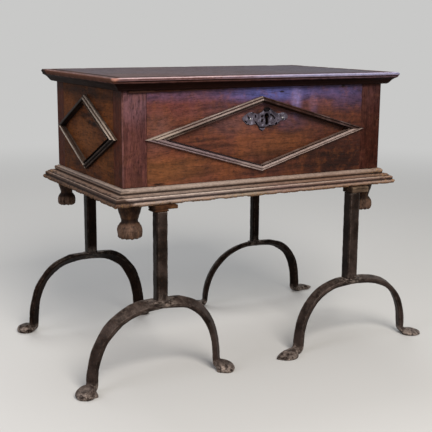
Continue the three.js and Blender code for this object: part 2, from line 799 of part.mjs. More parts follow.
function addLockCase() {
  const left = keyholePlace - lockCaseLeft;
  const right = keyholePlace + lockCaseRight;
  const top = boxTop - lockCaseDrop;
  const front = panelBack + seatGap;
  const outer = block([left, front, top - lockCaseHeight], [right, panelBack + lockCaseDepth, top]);
  const inner = block(
    [left + lockCaseWall, front - overrun, top - lockCaseHeight + lockCaseWall],
    [right - lockCaseWall, panelBack + lockCaseDepth - lockCaseWall, top - lockCaseWall],
  );
  const shell = cut(outer, [inner]);
  const stapleHalf = stapleThickness / 2;
  const guidePlaces = [
    boltNose - boltLength + 2 * boltRest + boltTravel,
    boltNose - boltRest - guideThickness,
    keyholePlace + stapleHalf + 2 * boltRest,
  ];
  const slot = block(
    [keyholePlace - stapleHalf - swingGap, front - overrun, top - lockCaseWall - overrun],
    [keyholePlace + stapleHalf + swingGap, panelBack + stapleInset + stapleDepth + swingGap, top + overrun],
  );
  const boltWindow = block(
    [left + lockCaseWall, boltMiddleY - boltDepth / 2 - seatGap, boltMiddleZ - boltHeight / 2 - seatGap],
    [right - lockCaseWall, boltMiddleY + boltDepth / 2 + seatGap, boltMiddleZ + boltHeight / 2 + seatGap],
  );
  const filled = join([shell, ...guidePlaces.map(guideBlock)]);
  addPiece("lock_case", cut(filled, [slot, boltWindow]), lockIron);
}

function addLockBolt() {
  const tail = boltNose - boltLength;
  const bar = block(
    [tail, boltMiddleY - boltDepth / 2, boltMiddleZ - boltHeight / 2],
    [boltNose, boltMiddleY + boltDepth / 2, boltMiddleZ + boltHeight / 2],
  );
  const middle = (tail + boltNose) / 2;
  const notch = block(
    [middle - boltNotchWidth / 2, boltMiddleY - boltDepth, boltMiddleZ - boltHeight],
    [middle + boltNotchWidth / 2, boltMiddleY + boltDepth, boltMiddleZ - boltHeight / 2 + boltNotchDepth],
  );
  addPiece("lock_bolt", cut(bar, [notch]), lockIron);
}

// A leaf spring from the roof of the case down onto the bolt's back
function addLockSpring() {
  const roof = boxTop - lockCaseDrop - lockCaseWall - seatGap - springThickness / 2;
  const floor = boltMiddleZ + boltHeight / 2 + seatGap + springThickness / 2;
  const line = springShares.map(([along, up]) => new THREE.Vector2(
    keyholePlace + along * lockCaseLeft,
    THREE.MathUtils.lerp(floor, roof, up),
  ));
  const half = springThickness / 2;
  const upper = line.map(({ x, y }) => [x, y + half]);
  const lower = line.map(({ x, y }) => [x, y - half]).reverse();
  const geometry = extrude(outline([...upper, ...lower]), boltDepth);
  geometry.rotateX(Math.PI / 2);
  geometry.translate(0, boltMiddleY + boltDepth / 2, 0);
  addPiece("lock_spring", geometry, brightIron);
}

function addLidStaple() {
  const front = panelBack + stapleInset;
  const top = boxTop;
  const eyeHalf = boltHeight / 2 + 2 * swingGap;
  const low = boltMiddleZ - eyeHalf - stapleRim;
  const tongue = block(
    [keyholePlace - stapleThickness / 2, front, low],
    [keyholePlace + stapleThickness / 2, front + stapleDepth, top],
  );
  const foot = block(
    [keyholePlace - stapleFootWidth / 2, front - stapleSwing, top - stapleFootThickness],
    [keyholePlace + stapleFootWidth / 2, front + stapleDepth + stapleSwing, top],
  );
  const eye = block(
    [keyholePlace - stapleThickness, boltMiddleY - boltDepth / 2 - swingGap, boltMiddleZ - eyeHalf],
    [keyholePlace + stapleThickness, boltMiddleY + boltDepth / 2 + swingGap, boltMiddleZ + eyeHalf],
  );
  addPiece("lid_staple", cut(join([tongue, foot]), [eye]), lockIron);
}

// Hinges: each turns about a pin along X at the top of the back panel
function pinRod(radius, from, to) {
  const geometry = rod(radius, to - from, pinSegments);
  geometry.rotateY(Math.PI / 2);
  geometry.translate(from, hingeAxisY, hingeAxisZ);
  return geometry;
}

function addHinge(name, place) {
  const half = hingeWidth / 2;
  const middleHalf = hingeWidth / 6;
  const bore = pinRod(hingePinRadius + seatGap, place - half - overrun, place + half + overrun);
  const strapTop = lidUnderside + leafThickness;
  const tip = hingeAxisY - strapLength;
  const root = hingeAxisY - knuckleRadius - swingGap;
  const tipHalf = strapTipWidth / 2;
  const strapPlan = outline([
    [place - half, root], [place - tipHalf, tip + tipHalf], [place, tip],
    [place + tipHalf, tip + tipHalf], [place + half, root],
  ]);
  const strap = extrude(strapPlan, leafThickness);
  strap.translate(0, 0, lidUnderside);
  const neck = block(
    [place - middleHalf + seatGap, root - knuckleRadius, lidUnderside],
    [place + middleHalf - seatGap, hingeAxisY, strapTop],
  );
  const curl = pinRod(knuckleRadius, place - middleHalf + seatGap, place + middleHalf - seatGap);
  addPiece(`${name}_hinge_strap`, cut(join([strap, neck, curl]), [bore]), lockIron);

  const leafFront = hingeAxisY - knuckleRadius;
  const plate = block(
    [place - half, leafFront, hingeAxisZ - leafLength],
    [place + half, leafFront + leafThickness, hingeAxisZ],
  );
  const outerCurls = [
    pinRod(knuckleRadius, place - half, place - middleHalf),
    pinRod(knuckleRadius, place + middleHalf, place + half),
  ];
  const curlGap = block(
    [place - middleHalf, leafFront - overrun, hingeAxisZ - knuckleRadius - swingGap],
    [place + middleHalf, hingeAxisY + overrun + knuckleRadius, hingeAxisZ + overrun],
  );
  const leafSolid = cut(join([cut(plate, [curlGap]), ...outerCurls]), [bore]);
  addPiece(`${name}_hinge_leaf`, leafSolid, lockIron);

  const headMiddle = half + seatGap + hingePinHead / 2;
  const shank = pinRod(hingePinRadius, place - headMiddle, place + headMiddle);
  const heads = [place - headMiddle, place + headMiddle].map(
    (middle) => pinRod(hingePinHeadRadius, middle - hingePinHead / 2, middle + hingePinHead / 2),
  );
  addPiece(`${name}_hinge_pin`, join([shank, ...heads]), brightIron);
}

addCarcase();
addPlinth();
addLid();
addLozenges();
addTurnedFeet();
addLegs();
addEscutcheon();
addLockCase();
addLockBolt();
addLockSpring();
addLidStaple();
addHinge("left", -hingePlace);
addHinge("right", hingePlace);

export default model;
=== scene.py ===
"""The looks of an old walnut strongbox on four wrought-iron legs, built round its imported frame."""

import logging
import math
from contextlib import contextmanager
from dataclasses import dataclass, replace
from enum import Enum
from typing import Any, Callable, Iterable, Iterator, Sequence

import bmesh
import bpy
from bmesh.types import BMesh
from bpy.types import Material, Mesh, Node, NodeSocket, NodeTree, Object, World
from mathutils import Matrix, Vector, noise


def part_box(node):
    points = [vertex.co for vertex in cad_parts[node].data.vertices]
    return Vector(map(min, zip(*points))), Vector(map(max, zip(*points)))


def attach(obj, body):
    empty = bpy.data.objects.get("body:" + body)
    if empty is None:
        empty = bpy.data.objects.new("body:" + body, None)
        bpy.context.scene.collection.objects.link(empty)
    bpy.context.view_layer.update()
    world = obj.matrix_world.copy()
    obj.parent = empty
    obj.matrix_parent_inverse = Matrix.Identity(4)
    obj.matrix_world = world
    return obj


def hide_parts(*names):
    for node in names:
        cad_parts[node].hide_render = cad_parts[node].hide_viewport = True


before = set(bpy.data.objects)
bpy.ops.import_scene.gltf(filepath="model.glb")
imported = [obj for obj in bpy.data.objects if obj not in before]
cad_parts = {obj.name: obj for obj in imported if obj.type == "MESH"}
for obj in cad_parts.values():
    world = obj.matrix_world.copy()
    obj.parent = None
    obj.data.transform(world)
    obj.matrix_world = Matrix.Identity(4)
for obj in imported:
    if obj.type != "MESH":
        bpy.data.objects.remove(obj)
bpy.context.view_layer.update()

log = logging.getLogger("strongbox")

MM = 0.001
SIDES = ("front", "right", "back", "left")
CORNERS = ("front_left", "front_right", "back_right", "back_left")
Pair = tuple[float, float]
Triple = tuple[float, float, float]
Faces = list[tuple[int, ...]]
Places = list[tuple[Vector, Vector]]
BACKDROP = "c9c9c8"


# Named choices
class Body(Enum):
    """The bodies that new pieces ride on."""

    COFFER = "coffer"
    LID = "lid"


class Slot(Enum):
    """The record's material slots that new pieces take."""

    POST = "post_wood"
    PLINTH = "plinth_wood"
    LID = "lid_wood"
    LOZENGE = "lozenge_wood"
    FOOT = "foot_wood"
    SHIM = "shim_wood"
    LEG = "leg_iron"
    LOCK = "lock_iron"


class Grain(Enum):
    """The way that the grain of a piece runs."""

    ALONG_X = (1, 0, 0)
    ALONG_Y = (0, 1, 0)
    ALONG_Z = (0, 0, 1)

    def stretch(self, along: float, across: float) -> Triple:
        """Returns one scale for each axis, a slow one along the grain and a quick one across it."""
        return tuple(along if axis else across for axis in self.value)

    def sideways(self, distance: float) -> Triple:
        """Returns a shift that only moves a point across the grain."""
        return tuple(0.0 if axis else distance for axis in self.value)


class PadShape(Enum):
    """The two kinds of foot that the arches end in."""

    LUMP = "lump"
    LEAF = "leaf"


# Node trees
def joining(operation: str, reflected: bool = False) -> Callable[["Field", Any], "Field"]:
    """Makes an operator of fields.

    Args:
        operation: ADD, SUBTRACT, MULTIPLY or DIVIDE.
        reflected: Whether the field stands on its right.

    Returns:
        The operator.
    """
    def join(field: "Field", other: Any) -> "Field":
        """Returns the field joined with the other term."""
        terms = (other, field) if reflected else (field, other)
        return field.maker.combine(operation, *terms)

    return join


class Field:
    """An output socket that takes part in arithmetic, where each sum adds a node to its tree."""

    def __init__(self, maker: "Maker", socket: NodeSocket) -> None:
        """Wraps an output socket of the maker's tree."""
        self.maker = maker
        self.socket = socket

    __add__, __radd__ = joining("ADD"), joining("ADD", reflected=True)
    __sub__, __rsub__ = joining("SUBTRACT"), joining("SUBTRACT", reflected=True)
    __mul__, __rmul__ = joining("MULTIPLY"), joining("MULTIPLY", reflected=True)
    __truediv__, __rtruediv__ = joining("DIVIDE"), joining("DIVIDE", reflected=True)

    @property
    def is_vector(self) -> bool:
        """Tells whether the socket holds a vector or a colour."""
        return self.socket.type in {"VECTOR", "RGBA"}


class Made:
    """A node just added, whose outputs are read by name."""

    def __init__(self, maker: "Maker", node: Node) -> None:
        """Keeps a node with the maker of its tree."""
        self.maker = maker
        self.node = node

    def __getitem__(self, name: str) -> Field:
        """Returns the output of that name as a field."""
        return Field(self.maker, find_socket(self.node.outputs, name))


def find_socket(sockets: Iterable[NodeSocket], name: str) -> NodeSocket:
    """Finds a socket by its identifier, or else by its name.

    Args:
        sockets: A node's inputs or outputs.
        name: The identifier or the name.

    Returns:
        The socket.
    """
    for socket in sockets:
        if socket.identifier == name:
            return socket
    for socket in sockets:
        if socket.name == name and socket.enabled:
            return socket
    raise KeyError(f"no socket {name} among {[socket.identifier for socket in sockets]}")


class Maker:
    """Adds nodes to one tree, of a material, the world or a geometry modifier."""

    def __init__(self, tree: NodeTree) -> None:
        """Starts on the tree that gets the nodes."""
        self.tree = tree

    def add(self, kind: str, inputs: dict[str, Any] | None = None, **settings: Any) -> Made:
        """Adds a node.

        Args:
            kind: The node's type.
            inputs: A value or a field for each socket named.
            **settings: Its settings, which are made first.

        Returns:
            The node, ready to give its outputs.
        """
        node = self.tree.nodes.new(kind)
        for name, value in settings.items():
            setattr(node, name, value)
        for name, value in (inputs or {}).items():
            self.feed(find_socket(node.inputs, name), value)
        return Made(self, node)

    def feed(self, socket: NodeSocket, value: Any) -> None:
        """Links a field to a socket, or sets the socket's own value.

        Args:
            socket: The input socket.
            value: A field, a number, a vector, a colour's code or a material.
        """
        if isinstance(value, Field):
            self.tree.links.new(value.socket, socket)
        elif socket.type == "RGBA":
            socket.default_value = (*tint(value), 1.0)
        elif socket.type == "VECTOR" and isinstance(value, (int, float)):
            socket.default_value = (value, value, value)
        else:
            socket.default_value = value

    def combine(self, operation: str, first: Any, second: Any) -> Field:
        """Joins two values by a sum, on vectors where one of them is a vector.

        Args:
            operation: ADD, SUBTRACT, MULTIPLY or DIVIDE.
            first: A field, a number or a vector.
            second: A field, a number or a vector.

        Returns:
            The result.
        """
        vectors = [
            isinstance(term, tuple) or (isinstance(term, Field) and term.is_vector)
            for term in (first, second)
        ]
        if not any(vectors):
            terms = {"Value": first, "Value_001": second}
            return self.add("ShaderNodeMath", terms, operation=operation)["Value"]
        if operation == "MULTIPLY" and not all(vectors):
            vector, factor = (first, second) if vectors[0] else (second, first)
            terms = {"Vector": vector, "Scale": factor}
            return self.add("ShaderNodeVectorMath", terms, operation="SCALE")["Vector"]
        terms = {"Vector": first, "Vector_001": second}
        return self.add("ShaderNodeVectorMath", terms, operation=operation)["Vector"]

    def reach(self, vector: Field) -> Field:
        """Returns the length of a vector."""
        return self.add("ShaderNodeVectorMath", {"Vector": vector}, operation="LENGTH")["Value"]

    def size_of(self, value: Field) -> Field:
        """Returns a number without its sign."""
        return self.add("ShaderNodeMath", {"Value": value}, operation="ABSOLUTE")["Value"]

    def limit(self, value: Field) -> Field:
        """Returns a number held between 0 and 1."""
        return self.add("ShaderNodeClamp", {"Value": value})["Result"]

    def step(self, value: Field, low: float, high: float) -> Field:
        """Returns a soft step from 0 at low to 1 at high; low may be the larger one."""
        inputs = {"Value": value, "From Min": low, "From Max": high, "To Min": 0.0, "To Max": 1.0}
        return self.add("ShaderNodeMapRange", inputs, interpolation_type="SMOOTHSTEP")["Result"]

    def blend(self, share: Any, first: Any, second: Any) -> Field:
        """Returns the blend of two colours, where the share is how much of the second it holds."""
        inputs = {"Factor_Float": share, "A_Color": first, "B_Color": second}
        return self.add("ShaderNodeMix", inputs, data_type="RGBA", clamp_factor=True)["Result_Color"]

    def between(self, share: Any, first: Any, second: Any) -> Field:
        """Returns the blend of two vectors."""
        inputs = {"Factor_Float": share, "A_Vector": first, "B_Vector": second}
        return self.add("ShaderNodeMix", inputs, data_type="VECTOR", clamp_factor=False)["Result_Vector"]

    def parts(self, vector: Field) -> tuple[Field, Field, Field]:
        """Returns the three parts of a vector."""
        made = self.add("ShaderNodeSeparateXYZ", {"Vector": vector})
        return made["X"], made["Y"], made["Z"]

    def carried(self, name: str, kind: str = "Fac") -> Field:
        """Returns what a mesh carries under a name, in a material's tree."""
        return self.add("ShaderNodeAttribute", attribute_name=name)[kind]

    def mix_shaders(self, share: Field, first: Field, second: Field) -> Field:
        """Returns the first shader, and the second one where the share is 1."""
        inputs = {"Fac": share, "Shader": first, "Shader_001": second}
        return self.add("ShaderNodeMixShader", inputs)["Shader"]

    def clouds(
        self, place: Field, scale: float = 1.0, detail: float = 2.0, rough: float = 0.5, seed: Any = 0.0,
    ) -> Field:
        """Returns a smooth noise round 0.5, with scale clouds to a metre and detail finer layers."""
        inputs = {"Vector": place, "W": seed, "Scale": scale, "Detail": detail, "Roughness": rough}
        return self.add("ShaderNodeTexNoise", inputs, noise_dimensions="4D")["Fac"]

    def cells(self, place: Field, scale: float, feature: str = "F1") -> Field:
        """Returns the distance from the middle of a cell, with scale cells to a metre."""
        inputs = {"Vector": place, "Scale": scale}
        return self.add("ShaderNodeTexVoronoi", inputs, feature=feature)["Distance"]


def emptied(owner: Material | World) -> Maker:
    """Returns a maker for the emptied tree of a material or a world."""
    owner.use_nodes = True
    owner.node_tree.nodes.clear()
    return Maker(owner.node_tree)


# Finishes
def tint(code: str) -> Triple:
    """Returns the linear colour of six hexadecimal digits."""
    values = [int(code[start:start + 2], 16) / 255 for start in (0, 2, 4)]
    return tuple(value / 12.92 if value <= 0.04045 else ((value + 0.055) / 1.055) ** 2.4 for value in values)


@dataclass
class Look:
    """What a finish paints: the sockets that vary over the surface."""

    colour: Field
    roughness: Field
    height: Field
    relief: float
    metallic: Any = 0.0
    coat: Any = 0.0


@dataclass(frozen=True)
class Finish:
    """A procedural material; each kind of finish paints its own look."""

    name: str
    shine: float = 0.4
    coat_roughness: float = 0.3

    def paint(self, maker: Maker) -> Look:
        """Paints the look; each kind of finish has its own."""
        raise NotImplementedError

    def build(self) -> Material:
        """Builds the material.

        Returns:
            The material.
        """
        material = bpy.data.materials.new(self.name)
        maker = emptied(material)
        look = self.paint(maker)
        relief = {"Strength": 1.0, "Distance": look.relief * MM, "Height": look.height}
        bump = maker.add("ShaderNodeBump", relief)
        shader = maker.add("ShaderNodeBsdfPrincipled", {
            "Base Color": look.colour,
            "Roughness": look.roughness,
            "Metallic": look.metallic,
            "Coat Weight": look.coat,
            "Coat Roughness": self.coat_roughness,
            "Specular IOR Level": self.shine,
            "Normal": bump["Normal"],
        })
        maker.add("ShaderNodeOutputMaterial", {"Surface": shader["BSDF"]})
        return material


@dataclass(frozen=True)
class Patch:
    """A stained, rubbed or bruised place, or a patch of painted light or shade: its middle and half sizes in
    millimetres, and its tint.
    """

    place: Triple
    half: Triple
    tint: str
    share: float
    edge: float = 0.55
    dent: float = 0.0
    proud: float = 0.0

    def cover(self, maker: Maker, point: Field, ripple: Field, crest: Field | None = None) -> Field:
        """Masks the patch.

        Args:
            maker: The maker of the material's tree.
            point: The object's coordinates.
            ripple: A noise round 0.5 that frays the edge.
            crest: How proud a point stands, for a patch on what is proud.

        Returns:
            The patch's share at its middle and 0 outside it.
        """
        middle = tuple(value * MM for value in self.place)
        scale = tuple(1 / (value * MM) if value else 0.0 for value in self.half)
        far = maker.reach((point - middle) * scale) + (ripple - 0.5) * 1.1
        cover = maker.step(far, 1.0 + self.edge, 1.0 - self.edge) * self.share
        if self.proud and crest:
            cover = cover * maker.step(crest, self.proud - 0.12, self.proud + 0.12)
        return cover


def on_front(
    across: float, up: float, half_across: float, half_up: float, colour: str, share: float,
    edge: float = 0.8, dent: float = 0.0, half_deep: float = 9.0, face: float = -176.0,
) -> Patch:
    """Returns a patch on the front of the box, placed across and up."""
    return Patch((across, face, up), (half_across, half_deep, half_up), colour, share, edge, dent)


def on_end(
    deep: float, up: float, half_deep: float, half_up: float, colour: str, share: float, dent: float = 0.0,
) -> Patch:
    """Returns a patch on the left end of the box, placed by its depth and height."""
    end_face = -300
    return Patch((end_face, deep, up), (6, half_deep, half_up), colour, share, 0.8, dent)


def band(up: float, half: float, colour: str, share: float, edge: float, proud: float = 0.0) -> Patch:
    """Returns a level band that runs all round."""
    return Patch((0, 0, up), (0, 0, half), colour, share, edge, proud=proud)


def left_band(
    across: float, up: float, reach: float, half: float, colour: str, share: float, edge: float,
    proud: float = 0.0,
) -> Patch:
    """Returns a level band on the left end only."""
    return Patch((across, 0, up), (reach, 0, half), colour, share, edge, proud=proud)


@dataclass(frozen=True)
class Wood(Finish):
    """Polished old wood, with figure, streaks, pores, warm patches and a painted cool reflection that rises
    towards the top.
    """

    dark: str = "3a1f18"
    body: str = "643a2c"
    warm: str = "84502c"
    warm_share: float = 0.6
    painted_sheen: str = "5c4a62"
    painted_sheen_low: float = 500.0
    painted_sheen_high: float = 560.0
    painted_sheen_share: float = 0.0
    grain: Grain = Grain.ALONG_X
    roughness: float = 0.42
    pore_share: float = 0.5
    pitting: float = 0.0
    raw_inside: bool = False
    patches: tuple[Patch, ...] = ()
    sheen: float = 0.15
    mottle: float = 2.1
    streaking: float = 1.4
    fleck_share: float = 0.25
    seed: float = 0.0

    def paint(self, maker: Maker) -> Look:
        """Paints wood by the object's own coordinates.

        Args:
            maker: The maker of the material's tree.

        Returns:
            The look.
        """
        place = maker.add("ShaderNodeTexCoord")["Object"]
        wander = maker.clouds(place, 7.0, seed=self.seed)
        bent = place + (wander - 0.5) * self.grain.sideways(0.03)
        seed, stretch = self.seed, self.grain.stretch
        figure = maker.clouds(bent * stretch(9.0, 110.0), detail=6, rough=0.66, seed=seed + 1)
        streaks = maker.clouds(bent * stretch(16.0, 380.0), detail=4, rough=0.6, seed=seed + 2)
        pores = maker.step(maker.clouds(bent * stretch(60.0, 900.0), seed=seed + 3), 0.55, 0.68)
        drift = maker.clouds(place, 13.0, detail=4, rough=0.6, seed=seed + 4)
        mottle = maker.clouds(place, 85.0, detail=5, rough=0.74, seed=seed + 6)
        flecks = maker.step(maker.clouds(place, 46.0, detail=5, rough=0.72, seed=seed + 7), 0.5, 0.62)
        colour = maker.blend(maker.step(figure, 0.36, 0.62), self.dark, self.body)
        colour = maker.blend(maker.step(drift, 0.44, 0.68) * self.warm_share, colour, self.warm)
        _, _, up = maker.parts(place)
        # Painted reflection and shade: a cool tint rises towards the top, broken into vertical streaks.
        if self.painted_sheen_share:
            sheen_streaks = maker.step(maker.clouds(place * (60.0, 60.0, 8.0), detail=3, seed=seed + 8), 0.34, 0.6)
            rise = maker.step(up + (drift - 0.5) * 0.09, self.painted_sheen_low * MM, self.painted_sheen_high * MM)
            colour = maker.blend(rise * (sheen_streaks * 0.55 + 0.45) * self.painted_sheen_share, colour, self.painted_sheen)
        height = figure * 0.4 - pores * 0.5 + drift * 0.7 + mottle * 0.5
        roughness = (drift - 0.5) * 0.3 + (mottle - 0.5) * 0.3 + pores * 0.12 + self.roughness
        coat = self.sheen
        if self.raw_inside:
            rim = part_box("front_panel")[1].z
            upper_edges = maker.step(up, rim - 0.8 * MM, rim - 0.2 * MM)
            raw = maker.limit(self.inside(maker, place) + upper_edges)
            bare = maker.blend(maker.step(figure, 0.3, 0.7), "4e3526", "7d5c42")
            colour = maker.blend(raw, colour, maker.blend(pores * 0.4, bare, "3a281c"))
            roughness = roughness + raw * 0.35
            coat = self.sheen - raw * self.sheen
        ripple = drift * 0.45 + mottle * 0.55
        for patch in self.patches:
            cover = patch.cover(maker, place, ripple)
            colour = maker.blend(cover, colour, patch.tint)
            if patch.dent:
                height = height - cover * patch.dent
        colour = maker.blend(flecks * self.fleck_share, colour, self.warm)
        shade = 1.0 + (mottle - 0.5) * self.mottle + (streaks - 0.5) * self.streaking + (figure - 0.5) * 0.9
        colour = colour * shade
        colour = maker.blend(maker.step(streaks, 0.54, 0.72) * 0.4, colour, self.dark)
        colour = maker.blend(pores * self.pore_share, colour, "1c100c")
        if self.pitting:
            pits = maker.step(maker.cells(place * (1.0, 0.6, 1.0), 240.0), 0.36, 0.12)
            pitted = pits * maker.step(maker.clouds(place, 26.0, seed=seed + 5), 0.45, 0.6) * self.pitting
            colour = maker.blend(pitted, colour, "1a0f0b")
            height = height - pitted * 1.4
        return Look(colour, roughness, height, 0.6, coat=coat)

    def inside(self, maker: Maker, place: Field) -> Field:
        """Masks the unpolished faces inside the box.

        Args:
            maker: The maker of the material's tree.
            place: The object's coordinates.

        Returns:
            1 on the inner faces and 0 outside.
        """
        across, deep, _ = maker.parts(place)
        half_width, half_depth = inner_half_sizes()
        within_width = maker.step(maker.size_of(across), half_width + 2 * MM, half_width + MM)
        within_depth = maker.step(maker.size_of(deep), half_depth + 2 * MM, half_depth + MM)
        return within_width * within_depth


def inner_half_sizes() -> Pair:
    """Returns half the inside of the box, across and deep, in metres, from the frame's panels."""
    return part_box("right_panel")[0].x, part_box("back_panel")[0].y


@dataclass(frozen=True)
class MouldingWood(Finish):
    """Moulded wood, rubbed pale on its crests, darkened in its hollows by grime and painted shade, ragged
    where it is worm-eaten.
    """

    dark: str = "38221c"
    body: str = "6a4a40"
    crest: str = "a08876"
    grime_and_shade: str = "1d1310"
    crest_share: float = 0.8
    crest_from: float = 0.45
    warm: str = "6e4a34"
    warm_share: float = 0.4
    ragged_tint: str = "7c5c48"
    fleck: str = "a8824e"
    roughness: float = 0.5
    coat: float = 0.1
    grime_and_shade_share: float = 0.85
    patches: tuple[Patch, ...] = ()
    seed: float = 0.0

    def paint(self, maker: Maker) -> Look:
        """Paints by the attributes that a length carries: lay, crest and ragged.

        Args:
            maker: The maker of the material's tree.

        Returns:
            The look.
        """
        place = maker.add("ShaderNodeTexCoord")["Object"]
        lay = maker.carried("lay", "Vector")
        crest = maker.carried("crest")
        ragged = maker.carried("ragged")
        seed = self.seed
        figure = maker.clouds(lay * (6.0, 160.0, 1.0), detail=5, rough=0.62, seed=seed + 1)
        streaks = maker.clouds(lay * (14.0, 520.0, 1.0), detail=3, seed=seed + 2)
        pores = maker.step(maker.clouds(lay * (50.0, 1100.0, 1.0), seed=seed + 3), 0.57, 0.7)
        drift = maker.clouds(place, 16.0, detail=4, rough=0.65, seed=seed + 4)
        rub = maker.clouds(place, 55.0, detail=3, rough=0.6, seed=seed + 5)
        spread = maker.clouds(place, 8.0, detail=3, seed=seed + 7)
        colour = maker.blend(maker.step(figure, 0.3, 0.68), self.dark, self.body)
        colour = maker.blend(maker.step(spread, 0.42, 0.62) * self.warm_share, colour, self.warm)
        rubbed = crest + (rub - 0.5) * 0.6 + (drift - 0.5) * 0.6
        worn = maker.step(rubbed, self.crest_from, self.crest_from + 0.35)
        bare = maker.step(spread + (rub - 0.5) * 0.4, 0.66, 0.36) * 0.55 + 0.45
        colour = maker.blend(worn * bare * self.crest_share, colour, self.crest)
        for patch in self.patches:
            colour = maker.blend(patch.cover(maker, place, rub, crest), colour, patch.tint)
        crumbs = maker.clouds(place, 150.0, detail=4, rough=0.74, seed=seed + 6)
        colour = colour * (1.0 + (crumbs - 0.5) * 1.3 + (streaks - 0.5) * 0.9)
        colour = maker.blend(maker.step(streaks, 0.5, 0.78) * 0.5, colour, self.dark)
        holes = maker.step(maker.cells(place, 330.0), 0.3, 0.1) * ragged
        colour = maker.blend(ragged * maker.step(crumbs, 0.4, 0.62) * 0.8, colour, self.ragged_tint)
        flecks = maker.step(maker.clouds(place, 260.0, detail=2, seed=seed + 8), 0.56, 0.66)
        colour = maker.blend(flecks * ragged * 0.75, colour, self.fleck)
        # Grime and painted shade: the hollows darken towards the grime colour, which also fills worm holes
        # and pores.
        hollow_grime_and_shade = maker.step(crest + (rub - 0.5) * 0.4, 0.36, 0.1) * self.grime_and_shade_share
        colour = maker.blend(hollow_grime_and_shade, colour, self.grime_and_shade)
        colour = maker.blend(maker.limit(holes + pores * 0.5), colour, self.grime_and_shade)
        height = figure * 0.3 + rub * 0.5 - pores * 0.4 - holes * 1.2 + crumbs * ragged
        roughness = (drift - 0.5) * 0.25 + ragged * 0.25 + self.roughness
        return Look(colour, roughness, height, 0.6, coat=self.coat - ragged * self.coat)


@dataclass(frozen=True)
class Iron(Finish):
    """Forged iron, hammered, brown-black, with rust in its hollows and bare metal where it is rubbed."""

    shine: float = 0.1
    deep: str = "0a0605"
    dark: str = "150e0a"
    body: str = "3a2e26"
    rubbed: str = "93857c"
    rust: str = "40281a"
    rust_share: float = 0.4
    roughness: float = 0.52
    metal: float = 0.25
    hammer: float = 70.0
    relief: float = 0.5
    seed: float = 0.0

    def paint(self, maker: Maker) -> Look:
        """Paints iron by the object's own coordinates and the attribute rubbed.

        Args:
            maker: The maker of the material's tree.

        Returns:
            The look.
        """
        place = maker.add("ShaderNodeTexCoord")["Object"]
        bare = maker.carried("rubbed")
        cut = maker.carried("cut")
        blows = maker.cells(place, self.hammer, "SMOOTH_F1")
        seed = self.seed
        grit = maker.clouds(place, 420.0, detail=3, rough=0.65, seed=seed + 1)
        drift = maker.clouds(place, 24.0, detail=4, rough=0.6, seed=seed + 2)
        broken = maker.clouds(place, 95.0, detail=5, rough=0.72, seed=seed + 3)
        pits = maker.step(maker.cells(place, self.hammer * 3.1), 0.26, 0.1)
        colour = maker.blend(maker.step(drift, 0.34, 0.62), self.dark, self.body)
        colour = maker.blend(maker.step(grit, 0.48, 0.7) * self.rust_share, colour, self.rust)
        shown = maker.limit(bare * maker.step(broken + (grit - 0.5) * 0.4, 0.4, 0.62))
        colour = maker.blend(shown, colour, self.rubbed)
        colour = colour * (1.0 + (grit - 0.5) * 0.9 + (broken - 0.5) * 0.9)
        # The cut attribute paints near-black: the plate's engraved lines and its piercings, whose black is
        # painted shade, and painted shade on the uprights' left faces.
        colour = maker.blend(maker.limit(pits * 0.5 + cut * 0.94), colour, self.deep)
        height = blows * 0.6 + grit * 0.25 - pits * 0.5 + broken * 0.5
        roughness = (grit - 0.5) * 0.3 + (drift - 0.5) * 0.2 + self.roughness
        metallic = maker.limit(shown * 0.2 + self.metal + cut * (1.0 - self.metal))
        return Look(colour, roughness, height, self.relief, metallic=metallic)


def seen_rays(maker: Maker) -> Field:
    """Returns 1 for the rays that show the studio itself: to the camera, in gloss and through glass."""
    rays = maker.add("ShaderNodeLightPath")
    return maker.limit(rays["Is Camera Ray"] + rays["Is Glossy Ray"] + rays["Is Transmission Ray"])


@dataclass(frozen=True)
class FloorPaint:
    """The plain pale floor of the studio, which fades into the backdrop and keeps the shadows."""

    name: str = "studio_floor"
    shade: str = "cfcfcd"
    bounce: str = "9c9892"
    fade_from: float = 1.5
    fade_to: float = 3.6

    def build(self) -> Material:
        """Builds the floor's material.

        Returns:
            The material.
        """
        material = bpy.data.materials.new(self.name)
        maker = emptied(material)
        place = maker.add("ShaderNodeTexCoord")["Object"]
        seen = seen_rays(maker)
        colour = maker.blend(seen, self.bounce, self.shade)
        colour = maker.blend(maker.clouds(place, 3.0, detail=3) * 0.06, colour, "b4b4b2")
        matt = maker.add("ShaderNodeBsdfDiffuse", {"Color": colour})
        glow = maker.add("ShaderNodeEmission", {"Color": BACKDROP, "Strength": 1.0})
        far = maker.step(maker.reach(place), self.fade_from, self.fade_to) * seen
        shown = maker.mix_shaders(far, matt["BSDF"], glow["Emission"])
        maker.add("ShaderNodeOutputMaterial", {"Surface": shown})
        return material


